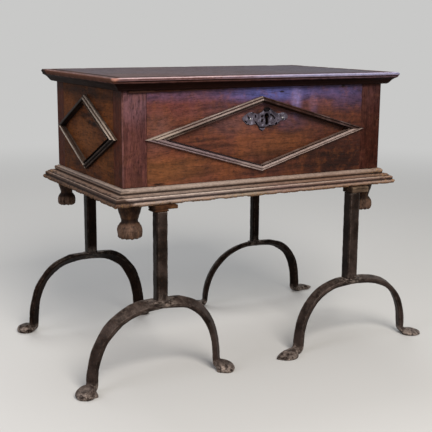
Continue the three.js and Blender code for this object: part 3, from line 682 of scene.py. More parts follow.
class Finishes:
    """The object's finishes, each built once."""

    def __init__(self) -> None:
        """Builds every finish."""
        front_marks_and_light = tuple(on_front(*row) for row in (
            (-216, 410, 80, 26, "6e4626", 0.6), (-191, 534, 60, 22, "70382c", 0.5),
            (-205, 452, 38, 22, "683428", 0.4), (40, 446, 80, 22, "6e4224", 0.5),
            # Painted reflection and highlight: the violet and blue patches high on the front (236, 22, 150
            # and -190 across) and the lilac streaks (84 and 125 across).
            (236, 545, 74, 26, "423e64", 0.62), (-60, 500, 62, 24, "6c4a4a", 0.5),
            (74, 496, 40, 18, "544054", 0.5), (22, 552, 90, 16, "4e5692", 0.8, 0.7),
            (150, 553, 90, 13, "484470", 0.6, 0.7), (84, 537, 11, 26, "7e72a2", 0.7),
            # Darker towards the lower right (215 and 275 across): part tone, part painted shade.
            (125, 522, 9, 22, "7c5e78", 0.55), (215, 410, 150, 44, "1a0702", 0.9),
            (275, 460, 60, 90, "35150a", 0.55), (118, 497, 44, 24, "3c2428", 0.45),
            # Painted shade: near-black on the wood seen through the plate's piercings and keyhole, here and
            # on the next line.
            (12.5, 500, 34, 20, "080404", 0.98, 0.3, 0.0, 13, -172),
            (13, 519, 8, 5, "080404", 0.98, 0.3, 0.0, 13), (-190, 553, 110, 11, "5c4660", 0.5),
            (-225, 484, 26, 36, "704e48", 0.4), (48, 553, 5.2, 1.5, "160c10", 0.95, 0.4, 1.6, 3),
            (200, 561, 5, 3.4, "120a0a", 0.95, 0.4, 1.6, 3),
            (-226, 385, 12, 2.0, "140a08", 0.9, 0.5, 1.2, 3),
        ))
        # The cool tint that rises towards the top of the front is a painted reflection, with the shade under
        # the lid.
        panel = Wood(
            "front_walnut", dark="3a2019", body="5c3327", warm="764426", painted_sheen="4e3e5e", painted_sheen_low=496.0,
            painted_sheen_high=560.0, painted_sheen_share=0.42, raw_inside=True, roughness=0.42, shine=0.13, sheen=0.06,
            patches=front_marks_and_light,
        )
        self.front = panel.build()
        end_marks_and_lid_shadow = tuple(on_end(*row) for row in (
            (109, 522, 34, 26, "7e4822", 0.55), (-18, 530, 26, 18, "7c4622", 0.4),
            (-112, 515, 26, 34, "804820", 0.55), (-88, 412, 34, 16, "6c4020", 0.5),
            # The dark band along the top of the end (552 up) is a painted shadow of the lid.
            (10, 460, 60, 30, "80502f", 0.5), (20, 552, 190, 13, "21130e", 0.75),
            (120, 420, 44, 30, "382018", 0.5), (14, 500, 12, 4, "120704", 0.95, 1.8),
            (-12, 492, 10, 4, "120704", 0.95, 1.8), (-38, 490, 13, 5, "120704", 0.95, 1.8),
            (-10, 507, 9, 3.4, "120704", 0.9, 1.8),
        ))
        end = replace(
            panel, name="end_walnut", dark="2f1a12", body="55301b", warm="764622", grain=Grain.ALONG_Y,
            patches=end_marks_and_lid_shadow, painted_sheen_share=0.0, pitting=0.9, shine=0.05, sheen=0.0, roughness=0.6, seed=7.0,
        )
        self.end = end.build()
        # The back keeps a faint painted reflection towards its top.
        back = replace(panel, name="back_walnut", painted_sheen_share=0.1, patches=(), roughness=0.55, seed=9.0)
        self.back = back.build()
        stile_marks_and_shade = (
            Patch((-275, -200, 450), (60, 60, 70), "5e3836", 0.5, 0.8),
            # Darker on the right stile: part tone, part painted shade.
            Patch((285, -190, 430), (60, 60, 120), "2c1007", 0.9, 0.8),
            Patch((-275, -176, 540), (40, 4, 30), "72525a", 0.55, 0.8),
            left_band(-300, 470, 3, 0, "472012", 0.85, 0.4),
            Patch((-299, -176, 0), (2.0, 2.0, 0), "7c5a5a", 0.45, 0.8),
            # Painted shadow of the lid at the top of the left stile.
            left_band(-300, 558, 4, 12, "1c0f0b", 0.7, 0.7),
        )
        # The stiles carry a painted cool reflection from lower down.
        post = replace(
            panel, name="stile_walnut", dark="2f1c1b", body="58342e", warm="603c2c", warm_share=0.35,
            painted_sheen="54424e", painted_sheen_share=0.25, painted_sheen_low=440.0, grain=Grain.ALONG_Z, patches=stile_marks_and_shade,
            pore_share=0.65, shine=0.06, sheen=0.0, roughness=0.58, streaking=2.2, seed=13.0,
        )
        self.post = post.build()
        self.bottom = Wood(
            "bottom_boards", dark="4a3324", body="73543a", warm="806040", roughness=0.75, shine=0.2,
            sheen=0.0, seed=17.0,
        ).build()
        cracks = (
            Patch((-242, 103, 588), (24, 1.8, 6), "1a1212", 0.85, 0.5, 1.0),
            Patch((-212, 115, 588), (26, 1.5, 6), "1a1212", 0.85, 0.5, 1.0),
            Patch((-166, 92, 588), (30, 1.8, 6), "1a1212", 0.85, 0.5, 1.0),
            Patch((-240, -130, 588), (90, 60, 9), "5a4038", 0.5, 0.8),
            band(560, 20, "6a4c38", 0.8, 0.2),
            # Painted reflection: a bluish patch on the right of the lid's top.
            Patch((240, 0, 588), (150, 190, 9), "545561", 0.6, 0.8),
        )
        # The grey-violet tint on the lid's top face is a painted grazing reflection.
        self.lid_top = Wood(
            "lid_board", dark="322729", body="504445", warm="5a463e", painted_sheen="625a66", painted_sheen_low=560.0,
            painted_sheen_high=590.0, painted_sheen_share=0.5, roughness=0.72, shine=0.12, sheen=0.0, patches=cracks,
            mottle=1.7, streaking=1.3, seed=19.0,
        ).build()
        lid_bands_and_light = (
            # A painted highlight along the top edge of the nosing, part rubbed wear, and a painted bluish
            # reflection on its right half.
            band(587.8, 1.7, "c8aeb0", 0.85, 0.3, 0.62),
            Patch((230, -204, 586), (250, 60, 7), "96a0c8", 0.6, 0.6, proud=0.6),
            band(582.9, 1.0, "a08084", 0.5, 0.3, 0.55),
            # Painted shade in the groove below the nosing.
            band(581.0, 1.2, "0a0403", 0.9, 0.3),
            band(578.7, 1.5, "664540", 0.6, 0.3),
            # Painted shade in the hollow under the nosing, all round.
            band(570, 8, "0d0504", 0.8, 0.2),
            left_band(-332, 584, 14, 6, "563526", 0.9, 0.3),
            # Painted shade in the hollow on the left end.
            left_band(-322, 571, 26, 8, "170b08", 0.8, 0.2),
            Patch((-322, -198, 587), (8, 8, 4), "c08c7c", 0.7, 0.6),
            # Painted shade over the far left corner of the lid, at the back.
            Patch((-328, 208, 577), (18, 36, 20), "0c0707", 0.97, 0.3),
        )
        lid_edge = MouldingWood(
            "lid_moulding", dark="1e0e0c", body="381e1a", crest="70504f", grime_and_shade="0c0504", crest_share=0.65,
            crest_from=0.6, warm="4a2618", warm_share=0.5, roughness=0.58, shine=0.03, coat=0.0,
            patches=lid_bands_and_light, seed=23.0,
        )
        self.lid_edge = lid_edge.build()
        self.strip = replace(
            lid_edge, name="lip_strip", body="38231c", crest="5a4038", crest_from=0.3, patches=(), seed=25.0,
        ).build()
        plinth_bands_and_light = (
            band(380, 4, "b0a096", 0.5, 0.5),
            band(369, 2.4, "7e6658", 0.6, 0.4),
            # Painted highlights on the crests of the two nosings, on this line and two lines down.
            band(366.3, 1.5, "dccabf", 0.65, 0.6, 0.5),
            band(361, 3, "78666a", 0.6, 0.4),
            band(356.6, 1.6, "c8b2a6", 0.55, 0.6, 0.5),
            band(352, 2.4, "6a4c3c", 0.6, 0.4),
            Patch((-40, -205, 356), (50, 30, 7), "80806a", 0.45, 0.8),
            Patch((40, -205, 360), (40, 30, 9), "86686a", 0.45, 0.8),
            Patch((190, -205, 362), (180, 40, 24), "6a4f40", 0.55, 0.9),
            Patch((-190, -205, 366), (150, 40, 20), "8e847e", 0.4, 0.9),
            # On the left end: painted shade over the fascia, a thin painted highlight above it and a thin
            # dark line on the bead.
            left_band(-332, 357, 40, 13, "3c2b23", 0.95, 0.12),
            left_band(-332, 367.2, 40, 1.3, "a08a7c", 0.8, 0.4, 0.4),
            left_band(-332, 378, 40, 1.7, "2c1d17", 0.8, 0.3),
        )
        self.plinth = MouldingWood(
            "plinth_moulding", dark="3a2b25", body="64503f", crest="a08a7c", grime_and_shade="1e1512", crest_share=0.7,
            crest_from=0.46, warm="6e5040", warm_share=0.6, ragged_tint="84644e", roughness=0.6, shine=0.12,
            coat=0.0, patches=plinth_bands_and_light, seed=29.0,
        ).build()
        # The bar finishes are lit and shaded copies of one finish, each with a tone of its own: paler copies
        # for bars that face the light, darker ones for bars in shade.
        umber = MouldingWood(
            "lozenge_umber_shaded", dark="180c0a", body="33201a", crest="8a7472", grime_and_shade="080404", crest_share=0.6,
            crest_from=0.86, warm="4a2c20", roughness=0.5, shine=0.1, coat=0.0, seed=31.0,
        )
        self.lozenge_umber_shaded = umber.build()
        lit_rub = Patch((-236, -187, 474), (50, 12, 18), "b0a294", 0.6, 0.8)
        self.lozenge_lit = replace(
            umber, name="lozenge_lit", dark="2a1c1a", body="554341", crest="aa9a92", crest_share=0.78,
            crest_from=0.5, warm="5e4234", grime_and_shade_share=0.95, patches=(lit_rub,), seed=33.0,
        ).build()
        self.lozenge_end_lit = replace(
            umber, name="lozenge_end_lit", dark="241814", body="5e4e44", crest="c4b4a4", crest_share=0.85,
            crest_from=0.5, warm="5e4a3c", grime_and_shade_share=1.0, seed=39.0,
        ).build()
        self.lozenge_shade = replace(
            umber, name="lozenge_shade", dark="0a0504", body="1c110d", crest="5c4a40", crest_from=0.85,
            warm="24140e", seed=40.0,
        ).build()
        rosy_rub = Patch((-40, -187, 402), (50, 12, 16), "b0a098", 0.6, 0.8)
        self.lozenge_rosy_lit = replace(
            umber, name="lozenge_rosy_lit", dark="4a3838", body="74605f", crest="8f7d80", crest_share=0.8,
            crest_from=0.3, warm="6a5450", grime_and_shade_share=0.4, patches=(rosy_rub,), seed=35.0,
        ).build()
        self.lozenge_tan_lit = replace(
            umber, name="lozenge_tan_lit", dark="4a3832", body="7c6860", crest="b09e98", crest_share=0.85,
            crest_from=0.32, warm="7c604e", grime_and_shade_share=0.55, seed=37.0,
        ).build()
        # A painted highlight over the bulb and painted shade in the waist; darker over the upper block.
        rings = (
            band(299, 13, "6a5448", 0.55, 0.8), band(317, 4.5, "160c09", 0.8, 0.6),
            band(340, 14, "2c1a14", 0.5, 0.8),
        )
        self.foot = Wood(
            "turned_foot_wood", dark="22130e", body="46301f", warm="6e5644", warm_share=0.5,
            grain=Grain.ALONG_Z, roughness=0.6, shine=0.1, sheen=0.0, pore_share=0.7, pitting=0.9,
            patches=rings, mottle=3.4, seed=41.0,
        ).build()
        # Painted shade on the left end face of each front shim.
        left_shim_end_shade, right_shim_end_shade = (
            Patch((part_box(shim)[0].x / MM, 0, 344), (4, 0, 0), "160d09", 0.9, 0.5)
            for shim in ("front_left_upper_shim", "front_right_shim")
        )
        shim = Wood(
            "shim_wood", dark="2c1c14", body="54341f", warm="7a5a3a", roughness=0.7, shine=0.06, sheen=0.0,
            pore_share=0.4, patches=(left_shim_end_shade,), seed=43.0,
        )
        self.shim = shim.build()
        self.grey_shim = replace(
            shim, name="grey_shim_wood", dark="44362c", body="75614f", warm="927c66", patches=(right_shim_end_shade,),
            seed=44.0,
        ).build()
        iron = Iron("leg_iron", body="3a302c", relief=0.8)
        self.leg = iron.build()
        # A darker copy for the back legs: painted shade, as the box above shades them.
        shaded = replace(iron, name="shaded_leg_iron", dark="090504", body="1c130f", shine=0.05, seed=3.0)
        self.shaded_back_leg = shaded.build()
        self.plate = Iron(
            "escutcheon_iron", shine=0.24, deep="050405", dark="34303a", body="5a5460", rubbed="a09cae",
            rust="4c3634", rust_share=0.45, roughness=0.5, metal=0.35, hammer=260.0, relief=0.25, seed=47.0,
        ).build()
        self.lock = Iron(
            "lock_iron", shine=0.3, dark="2a2826", body="4a4644", rust="4a2c1c", rust_share=0.5, metal=0.5,
            hammer=150.0, relief=0.25, seed=53.0,
        ).build()
        self.bright = Iron(
            "bright_iron", shine=0.4, dark="5a5858", body="8c8a8c", rubbed="b4b2b4", rust="5a4436",
            rust_share=0.2, roughness=0.36, metal=0.8, hammer=320.0, relief=0.1, seed=59.0,
        ).build()


# Meshes
def in_mm(across: float, deep: float, up: float) -> Vector:
    """Returns a place or a size that is given in millimetres."""
    return Vector((across, deep, up)) * MM


def clamp(value: float) -> float:
    """Returns a number held between 0 and 1."""
    return min(max(value, 0.0), 1.0)


def new_mesh(
    name: str, points: Sequence[Sequence[float]], faces: Faces, edges: Sequence[tuple[int, int]] = (),
) -> Mesh:
    """Returns a new mesh of points, faces and loose edges."""
    mesh = bpy.data.meshes.new(name)
    mesh.from_pydata(points, edges, faces)
    return mesh


@contextmanager
def opened(mesh: Mesh) -> Iterator[BMesh]:
    """Opens a mesh for editing, and writes it back at the end.

    Args:
        mesh: The mesh.

    Yields:
        Its editable copy.
    """
    shell = bmesh.new()
    shell.from_mesh(mesh)
    yield shell
    shell.to_mesh(mesh)
    shell.free()


def ring_faces(rings: int, size: int, first: int = 0) -> Faces:
    """Lists the faces that join rings of points.

    Args:
        rings: How many gaps between rings are closed.
        size: How many points there are in a ring.
        first: The first ring's first point.

    Returns:
        The faces.
    """
    faces = []
    for low in range(first, first + rings * size, size):
        for index in range(size):
            after = (index + 1) % size
            faces.append((low + index, low + after, low + size + after, low + size + index))
    return faces


def swept_faces(rings: int, size: int) -> Faces:
    """Lists the faces of a swept section, with a flat cap at each end."""
    caps = [tuple(reversed(range(size))), tuple(range(rings * size, (rings + 1) * size))]
    return ring_faces(rings, size) + caps


def turned_faces(rings: int, size: int) -> Faces:
    """Lists the faces of a turned form, whose first point and last point close its ends."""
    crown = 1 + rings * size
    base = [(0, 1 + (index + 1) % size, 1 + index) for index in range(size)]
    top = [(crown + size, crown + index, crown + (index + 1) % size) for index in range(size)]
    return base + ring_faces(rings, size, 1) + top


def note_numbers(mesh: Mesh, **layers: Sequence[float]) -> None:
    """Notes numbers on a mesh's points, one for each point under each name."""
    for name, values in layers.items():
        mesh.attributes.new(name, "FLOAT", "POINT").data.foreach_set("value", values)


def note_vectors(mesh: Mesh, name: str, vectors: Iterable[Iterable[float]]) -> None:
    """Notes a vector on each of a mesh's points, under one name."""
    values = [value for vector in vectors for value in vector]
    mesh.attributes.new(name, "FLOAT_VECTOR", "POINT").data.foreach_set("vector", values)


def cover_with(mesh: Mesh, material: Material) -> None:
    """Gives a mesh one finish all over."""
    mesh.materials.clear()
    mesh.materials.append(material)


def make_object(name: str, data: bpy.types.ID) -> Object:
    """Returns a new object at the origin of the scene."""
    made = bpy.data.objects.new(name, data)
    bpy.context.scene.collection.objects.link(made)
    return made


def settle(made: Object) -> None:
    """Turns an object's modifiers into a plain mesh and takes them off.

    Args:
        made: The object.
    """
    bpy.context.view_layer.update()
    graph = bpy.context.evaluated_depsgraph_get()
    shape = made.evaluated_get(graph)
    mesh = bpy.data.meshes.new_from_object(shape, preserve_all_data_layers=True, depsgraph=graph)
    made.modifiers.clear()
    made.data = mesh


def shade_smooth(mesh: Mesh, sharp_degrees: float = 180.0) -> None:
    """Shades a mesh smooth, apart from edges sharper than an angle."""
    mesh.polygons.foreach_set("use_smooth", [True] * len(mesh.polygons))
    if sharp_degrees < 180:
        mesh.set_sharp_from_angle(angle=math.radians(sharp_degrees))


def put_on(piece: Object, body: Body, nodes: Sequence[str] = ()) -> None:
    """Rides a finished piece on its body and the nodes that it stands for.

    Args:
        piece: The piece.
        body: The body that carries it.
        nodes: The frame's nodes that it replaces.
    """
    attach(piece, body.value)
    if nodes:
        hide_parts(*nodes)
    log.info("%s: %d faces, rides on %s", piece.name, len(piece.data.polygons), body.value)


def finish_node(node: str, material: Material) -> None:
    """Gives one of the frame's own nodes its finish."""
    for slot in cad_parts[node].material_slots:
        slot.material = material
    log.info("%s: finished as %s", node, material.name)


def eased_copy(
    node: str, name: str, material: Material, ease: float, seam: float = 0.01, sharp_degrees: float = 35.0,
) -> Object:
    """Copies a node with its sharp edges eased, as hands and years leave them.

    Args:
        node: The node's name.
        name: The new piece's name.
        material: Its finish.
        ease: How wide the eased edge is, in millimetres.
        seam: How near two points are merged, in millimetres.
        sharp_degrees: The angle from which an edge is eased.

    Returns:
        The piece.
    """
    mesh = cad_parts[node].data.copy()
    mesh.name = name
    with opened(mesh) as shell:
        bmesh.ops.remove_doubles(shell, verts=shell.verts, dist=seam * MM)
        flat = {"angle_limit": math.radians(1), "use_dissolve_boundaries": False}
        bmesh.ops.dissolve_limit(shell, verts=shell.verts, edges=shell.edges, **flat)
    cover_with(mesh, material)
    piece = make_object(name, mesh)
    bevel = piece.modifiers.new("ease", "BEVEL")
    bevel.width = ease * MM
    bevel.segments = 3
    bevel.limit_method = "ANGLE"
    bevel.angle_limit = math.radians(sharp_degrees)
    settle(piece)
    shade_smooth(piece.data, 14)
    return piece


def reskin(piece: Object, voxel: float) -> None:
    """Welds a piece's parts into one skin of small even faces and smooths it a little.

    Args:
        piece: The piece.
        voxel: The size of its new faces, in millimetres.
    """
    weld = piece.modifiers.new("weld", "REMESH")
    weld.mode = "VOXEL"
    weld.voxel_size = voxel * MM
    piece.modifiers.new("smooth", "SMOOTH").iterations = 2
    settle(piece)


def point_outwards(mesh: Mesh) -> None:
    """Merges a closed mesh's doubles and turns its faces outwards."""
    with opened(mesh) as shell:
        bmesh.ops.remove_doubles(shell, verts=shell.verts, dist=0.005 * MM)
        bmesh.ops.recalc_face_normals(shell, faces=shell.faces)


class GroupTree:
    """A tree of geometry nodes with named inputs, built once and then run on many pieces."""

    name = ""
    inputs: dict[str, tuple[str, ...]] = {}

    def __init__(self) -> None:
        """Builds the tree, which ends in a plain mesh with its finish on."""
        self.tree = bpy.data.node_groups.new(self.name, "GeometryNodeTree")
        sockets = self.tree.interface
        sockets.new_socket("Geometry", in_out="INPUT", socket_type="NodeSocketGeometry")
        self.sockets = {
            label: sockets.new_socket(label, in_out="INPUT", socket_type=f"NodeSocket{kind}").identifier
            for kind, labels in self.inputs.items() for label in labels
        }
        sockets.new_socket("Geometry", in_out="OUTPUT", socket_type="NodeSocketGeometry")
        maker = Maker(self.tree)
        given = maker.add("NodeGroupInput")
        shape = self.wire(maker, given)
        if "Finish" in self.sockets:
            finish = {"Geometry": shape, "Material": given["Finish"]}
            shape = maker.add("GeometryNodeSetMaterial", finish)["Geometry"]
        plain = maker.add("GeometryNodeRealizeInstances", {"Geometry": shape})
        maker.add("NodeGroupOutput", {"Geometry": plain["Geometry"]})

    def wire(self, maker: Maker, given: Made) -> Field:
        """Wires the nodes that make the shape; each tree has its own."""
        raise NotImplementedError

    def run(self, piece: Object, values: dict[str, Any]) -> None:
        """Runs the tree on a piece, with a value for each named input."""
        modifier = piece.modifiers.new(self.name, "NODES")
        modifier.node_group = self.tree
        for name, value in values.items():
            modifier[self.sockets[name]] = value
        settle(piece)


def carried(maker: Maker, name: str, kind: str = "FLOAT") -> Field:
    """Returns what a mesh carries under a name, in a tree of geometry nodes."""
    return maker.add("GeometryNodeInputNamedAttribute", {"Name": name}, data_type=kind)["Attribute"]


# Mouldings
@dataclass(frozen=True)
class Section:
    """The section of a moulding, from its back round its moulded edge, as shares of its reach and height.

    The reeds are fine flutes between two shares of the moulded edge's length.
    """

    shares: tuple[Pair, ...]
    reach: float
    height: float
    back: float
    step: float = 0.9
    rounding: int = 2
    reeds: tuple[tuple[float, float, int, float], ...] = ()
    ragged_below: float = 0.0

    def edge(self) -> list[Vector]:
        """Returns the moulded edge as evenly spaced points with eased corners, in millimetres."""
        corners = [Vector((across * self.reach, up * self.height)) for across, up in self.shares]
        points = [corners[0]]
        for start, end in zip(corners, corners[1:]):
            count = max(1, round((end - start).length / self.step))
            points += [start.lerp(end, (index + 1) / count) for index in range(count)]
        for _ in range(self.rounding):
            inner = [
                (before + 2 * point + after) / 4
                for before, point, after in zip(points, points[1:], points[2:])
            ]
            points = [points[0], *inner, points[-1]]
        return self.with_reeds(points)

    def with_reeds(self, points: list[Vector]) -> list[Vector]:
        """Cuts the fine flutes into the edge.

        Args:
            points: The edge's points.

        Returns:
            The points with the flutes.
        """
        last = len(points) - 1
        cut = list(points)
        for start, end, count, depth in self.reeds:
            for index in range(1, last):
                share = (index / last - start) / (end - start)
                if 0 < share < 1:
                    inward = depth * (0.5 - 0.5 * math.cos(2 * math.pi * count * share))
                    cut[index] = points[index] - normal_at(points, index) * inward
        return cut


def normal_at(points: Sequence[Vector], index: int) -> Vector:
    """Returns the outward normal at one point of an edge that has its wood on the left."""
    along = points[min(index + 1, len(points) - 1)] - points[max(index - 1, 0)]
    return Vector((along.y, -along.x)).normalized()


def crest_values(points: Sequence[Vector], spread: int = 5, full: float = 1.1) -> list[float]:
    """Measures how proud each point of an edge stands of its neighbours.

    Args:
        points: The edge's points.
        spread: How many neighbours each way are compared.
        full: The height of a full crest, in millimetres.

    Returns:
        For each point 0 in a hollow, 0.5 on a flat and 1 on a crest.
    """
    values = []
    last = len(points) - 1
    for index, point in enumerate(points):
        around = [points[min(max(index + shift, 0), last)] for shift in range(-spread, spread + 1)]
        middle = sum(around, Vector((0, 0))) / len(around)
        proud = (point - middle).dot(normal_at(points, index))
        values.append(clamp(0.5 + proud / full))
    return values


@dataclass(frozen=True)
class Run:
    """One length of a mitred frame: its outer edge, and how its corners move inwards."""

    start: Vector
    end: Vector
    start_mitre: Vector
    end_mitre: Vector
    up: Vector


def mitred_runs(corners: Sequence[Vector], up: Vector, gap: float = 0.15) -> list[Run]:
    """Splits an outline into mitred lengths.

    Args:
        corners: The outer corners, anticlockwise as seen against up.
        up: The way that the moulding's height points.
        gap: How far each end stays off its mitre, in millimetres.

    Returns:
        One run for each side.
    """
    count = len(corners)
    ways = [(corners[(index + 1) % count] - corners[index]).normalized() for index in range(count)]
    inwards = [up.cross(way) for way in ways]
    pairs = zip([inwards[-1], *inwards], inwards)
    mitres = [(before + after) / (1 + before.dot(after)) for before, after in pairs]
    runs = []
    for index, way in enumerate(ways):
        after = (index + 1) % count
        inset = way * gap * MM
        runs.append(Run(corners[index] + inset, corners[after] - inset, mitres[index], mitres[after], up))
    return runs


class MouldingTree(GroupTree):
    """Lays a straight moulding between two mitres and wears it."""

    name = "laid_moulding"
    inputs = {
        "Vector": ("Start", "End", "Start mitre", "End mitre", "Up"),
        "Float": ("Wear depth", "Chip depth", "Seed"),
        "Material": ("Finish",),
    }

    def wire(self, maker: Maker, given: Made) -> Field:
        """Wires the nodes: a point's share, depth and height become its place, less its wear.

        Args:
            maker: The maker of the tree.
            given: The tree's inputs.

        Returns:
            The laid moulding.
        """
        share, inward, height = maker.parts(maker.add("GeometryNodeInputPosition")["Position"])

        def laid(across: Field, up: Field) -> Field:
            """Places a point of the section along the length."""
            start = given["Start"] + given["Start mitre"] * across
            end = given["End"] + given["End mitre"] * across
            return maker.between(share, start, end) + given["Up"] * up

        place = laid(inward, height)
        seed = given["Seed"]
        crest, ragged = carried(maker, "crest"), carried(maker, "ragged")
        knocks = maker.step(maker.clouds(place, 42.0, detail=3, seed=seed), 0.46, 0.74)
        chips = maker.step(maker.clouds(place, 62.0, detail=4, rough=0.62, seed=seed + 3.0), 0.45, 0.66)
        crumbs = maker.clouds(place, 230.0, detail=3, rough=0.7, seed=seed + 5.0)
        loss = given["Wear depth"] * (crest * 0.9 + 0.15) * knocks
        loss = loss + given["Chip depth"] * ragged * (chips + (crumbs - 0.35) * 0.5)
        loss = loss + maker.clouds(place, 16.0, seed=seed + 7.0) * given["Wear depth"] * 0.5
        worn = laid(inward - loss * carried(maker, "across"), height - loss * carried(maker, "rise"))
        moved = {"Geometry": given["Geometry"], "Position": worn}
        return maker.add("GeometryNodeSetPosition", moved)["Geometry"]


class MouldingShop:
    """Makes mitred lengths of moulding from a section."""

    def __init__(self) -> None:
        """Builds the tree that lays the lengths."""
        self.tree = MouldingTree()

    def straight(
        self, name: str, section: Section, length: float, pitch: float, fray: Pair,
    ) -> Object:
        """Builds a straight length whose points hold share, depth and height, with what the tree reads.

        Args:
            name: The piece's name.
            section: Its section.
            length: Its length in metres.
            pitch: As in length().
            fray: As in length().

        Returns:
            The unlaid length.
        """
        edge = section.edge()
        crests = crest_values(edge)
        normals = [normal_at(edge, index) for index in range(len(edge))]
        loop = [Vector((section.back, 0)), Vector((section.back, section.height)), *edge]
        quiet = [0.0, 0.0]
        crests = [0.3, 0.3, *crests]
        across = [*quiet, *(normal.x for normal in normals)]
        rise = [*quiet, *(normal.y for normal in normals)]
        below = section.ragged_below
        ragged = [*quiet, *(max(0.0, 1 - point.y / below) if below else 0.0 for point in edge)]
        girth = [0.0]
        for start, end in zip(loop, loop[1:]):
            girth.append(girth[-1] + (end - start).length * MM)
        rings = max(8, round(length / MM / pitch))
        size = len(loop)
        vertices = [
            (ring / rings, point.x * MM, point.y * MM)
            for ring in range(rings + 1) for point in loop
        ]
        mesh = new_mesh(name, vertices, swept_faces(rings, size))
        turns = rings + 1
        eaten = []
        for ring in range(turns):
            ends = ring / rings * length / MM, (1 - ring / rings) * length / MM
            decay = max([0.0, *(1 - end / reach for end, reach in zip(ends, fray) if reach)])
            eaten += [max(share, decay if index > 1 else 0.0) for index, share in enumerate(ragged)]
        note_numbers(mesh, crest=crests * turns, across=across * turns, rise=rise * turns, ragged=eaten)
        lay = ((ring / rings * length, turn, 0.0) for ring in range(turns) for turn in girth)
        note_vectors(mesh, "lay", lay)
        return make_object(name, mesh)

    def length(
        self, name: str, section: Section, run: Run, material: Material, wear: float, chip: float,
        seed: float, pitch: float = 2.4, fray: Pair = (0.0, 0.0),
    ) -> Object:
        """Makes one laid and worn length, with its sizes in millimetres.

        Args:
            name: The piece's name.
            section: Its section.
            run: Where it lies.
            material: Its finish.
            wear: How deep its crests are rubbed.
            chip: How deep its ragged edge is chipped.
            seed: Which wear it gets.
            pitch: The distance between its cross sections.
            fray: How far its two ends are worm-eaten.

        Returns:
            The piece.
        """
        piece = self.straight(name, section, (run.end - run.start).length, pitch, fray)
        self.tree.run(piece, {
            "Start": run.start, "End": run.end, "Start mitre": run.start_mitre, "End mitre": run.end_mitre,
            "Up": run.up, "Wear depth": wear * MM, "Chip depth": chip * MM, "Seed": seed, "Finish": material,
        })
        shade_smooth(piece.data, 50)
        return piece


def bite(piece: Object, middle: Vector, radius: float, push: Vector) -> None:
    """Pushes the points near a place, for a chip or a bruise.

    Args:
        piece: The piece.
        middle: The place, in metres.
        radius: How far it reaches, in metres.
        push: The move at its middle, in metres.
    """
    for vertex in piece.data.vertices:
        distance = (vertex.co - middle).length / radius
        rough = 0.75 + 0.5 * noise.noise(vertex.co * 160)
        if distance < 1:
            vertex.co += push * (1 - distance * distance) ** 2 * rough


def outer_box(nodes: Sequence[str]) -> tuple[Vector, Vector]:
    """Measures the box round some nodes.

    Args:
        nodes: The nodes' names.

    Returns:
        Its lowest and highest corners.
    """
    boxes = [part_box(node) for node in nodes]
    low = Vector(min(low[axis] for low, _ in boxes) for axis in range(3))
    high = Vector(max(high[axis] for _, high in boxes) for axis in range(3))
    return low, high


def rectangle(low: Vector, high: Vector, level: float) -> list[Vector]:
    """Returns the four corners of a box at one level, anticlockwise from the front left."""
    return [
        Vector((low.x, low.y, level)), Vector((high.x, low.y, level)),
        Vector((high.x, high.y, level)), Vector((low.x, high.y, level)),
    ]


# The box
@dataclass
class Carcase:
    """The boards of the box, which keep the frame's shapes with eased edges."""

    finishes: Finishes
    ease: float = 0.9

    def build(self) -> None:
        """Builds the posts and dresses the panels and bottom boards."""
        for corner in CORNERS:
            node = f"{corner}_corner_post"
            post = eased_copy(node, f"{corner}_stile", self.finishes.post, self.ease)
            put_on(post, Body.COFFER, [node])
        finishes = self.finishes
        for side, material in zip(SIDES, (finishes.front, finishes.end, finishes.back, finishes.end)):
            finish_node(f"{side}_panel", material)
        for side in ("front", "back"):
            finish_node(f"{side}_bottom_board", finishes.bottom)


@dataclass
class Plinth:
    """The reeded plinth round the foot of the box, worm-eaten along its lower edge."""

    finishes: Finishes
    shop: MouldingShop
    reach: float = 29.0
    ledge: float = 51.0
    wear: float = 0.9
    chip: float = 2.3
    pitch: float = 2.2
    eaten_height: float = 13.0
    frays: tuple[Pair, ...] = ((0.0, 70.0), (60.0, 0.0), (0.0, 60.0), (60.0, 0.0))

    def section(self) -> Section:
        """Returns the plinth's section."""
        low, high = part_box("front_plinth")
        shares = (
            (0.86, 1), (0.75, 0.96), (0.7, 0.88), (0.7, 0.78), (0.74, 0.67), (0.49, 0.67), (0.4, 0.64),
            (0.38, 0.58), (0.26, 0.54), (0.16, 0.5), (0.14, 0.44), (0.17, 0.36), (0.16, 0.3), (0.04, 0.26),
            (0, 0.17), (0.02, 0.08), (0.12, 0),
        )
        reeds = ((0.42, 0.66, 3, 0.7), (0.72, 0.86, 2, 0.5))
        height, back = (high.z - low.z) / MM, self.reach + self.ledge
        return Section(shares, self.reach, height, back, reeds=reeds, ragged_below=self.eaten_height)

    def build(self) -> None:
        """Builds the four lengths."""
        nodes = [f"{side}_plinth" for side in SIDES]
        low, high = outer_box(nodes)
        section = self.section()
        runs = mitred_runs(rectangle(low, high, low.z), Vector((0, 0, 1)))
        bruise = in_mm(-237, -184, 382)
        for index, (side, run) in enumerate(zip(SIDES, runs)):
            piece = self.shop.length(
                f"{side}_plinth_length", section, run, self.finishes.plinth, self.wear, self.chip,
                3.0 + index, self.pitch, self.frays[index],
            )
            if side == "front":
                bite(piece, bruise, 9 * MM, in_mm(0, 2, -2.6))
            put_on(piece, Body.COFFER, [nodes[index]])


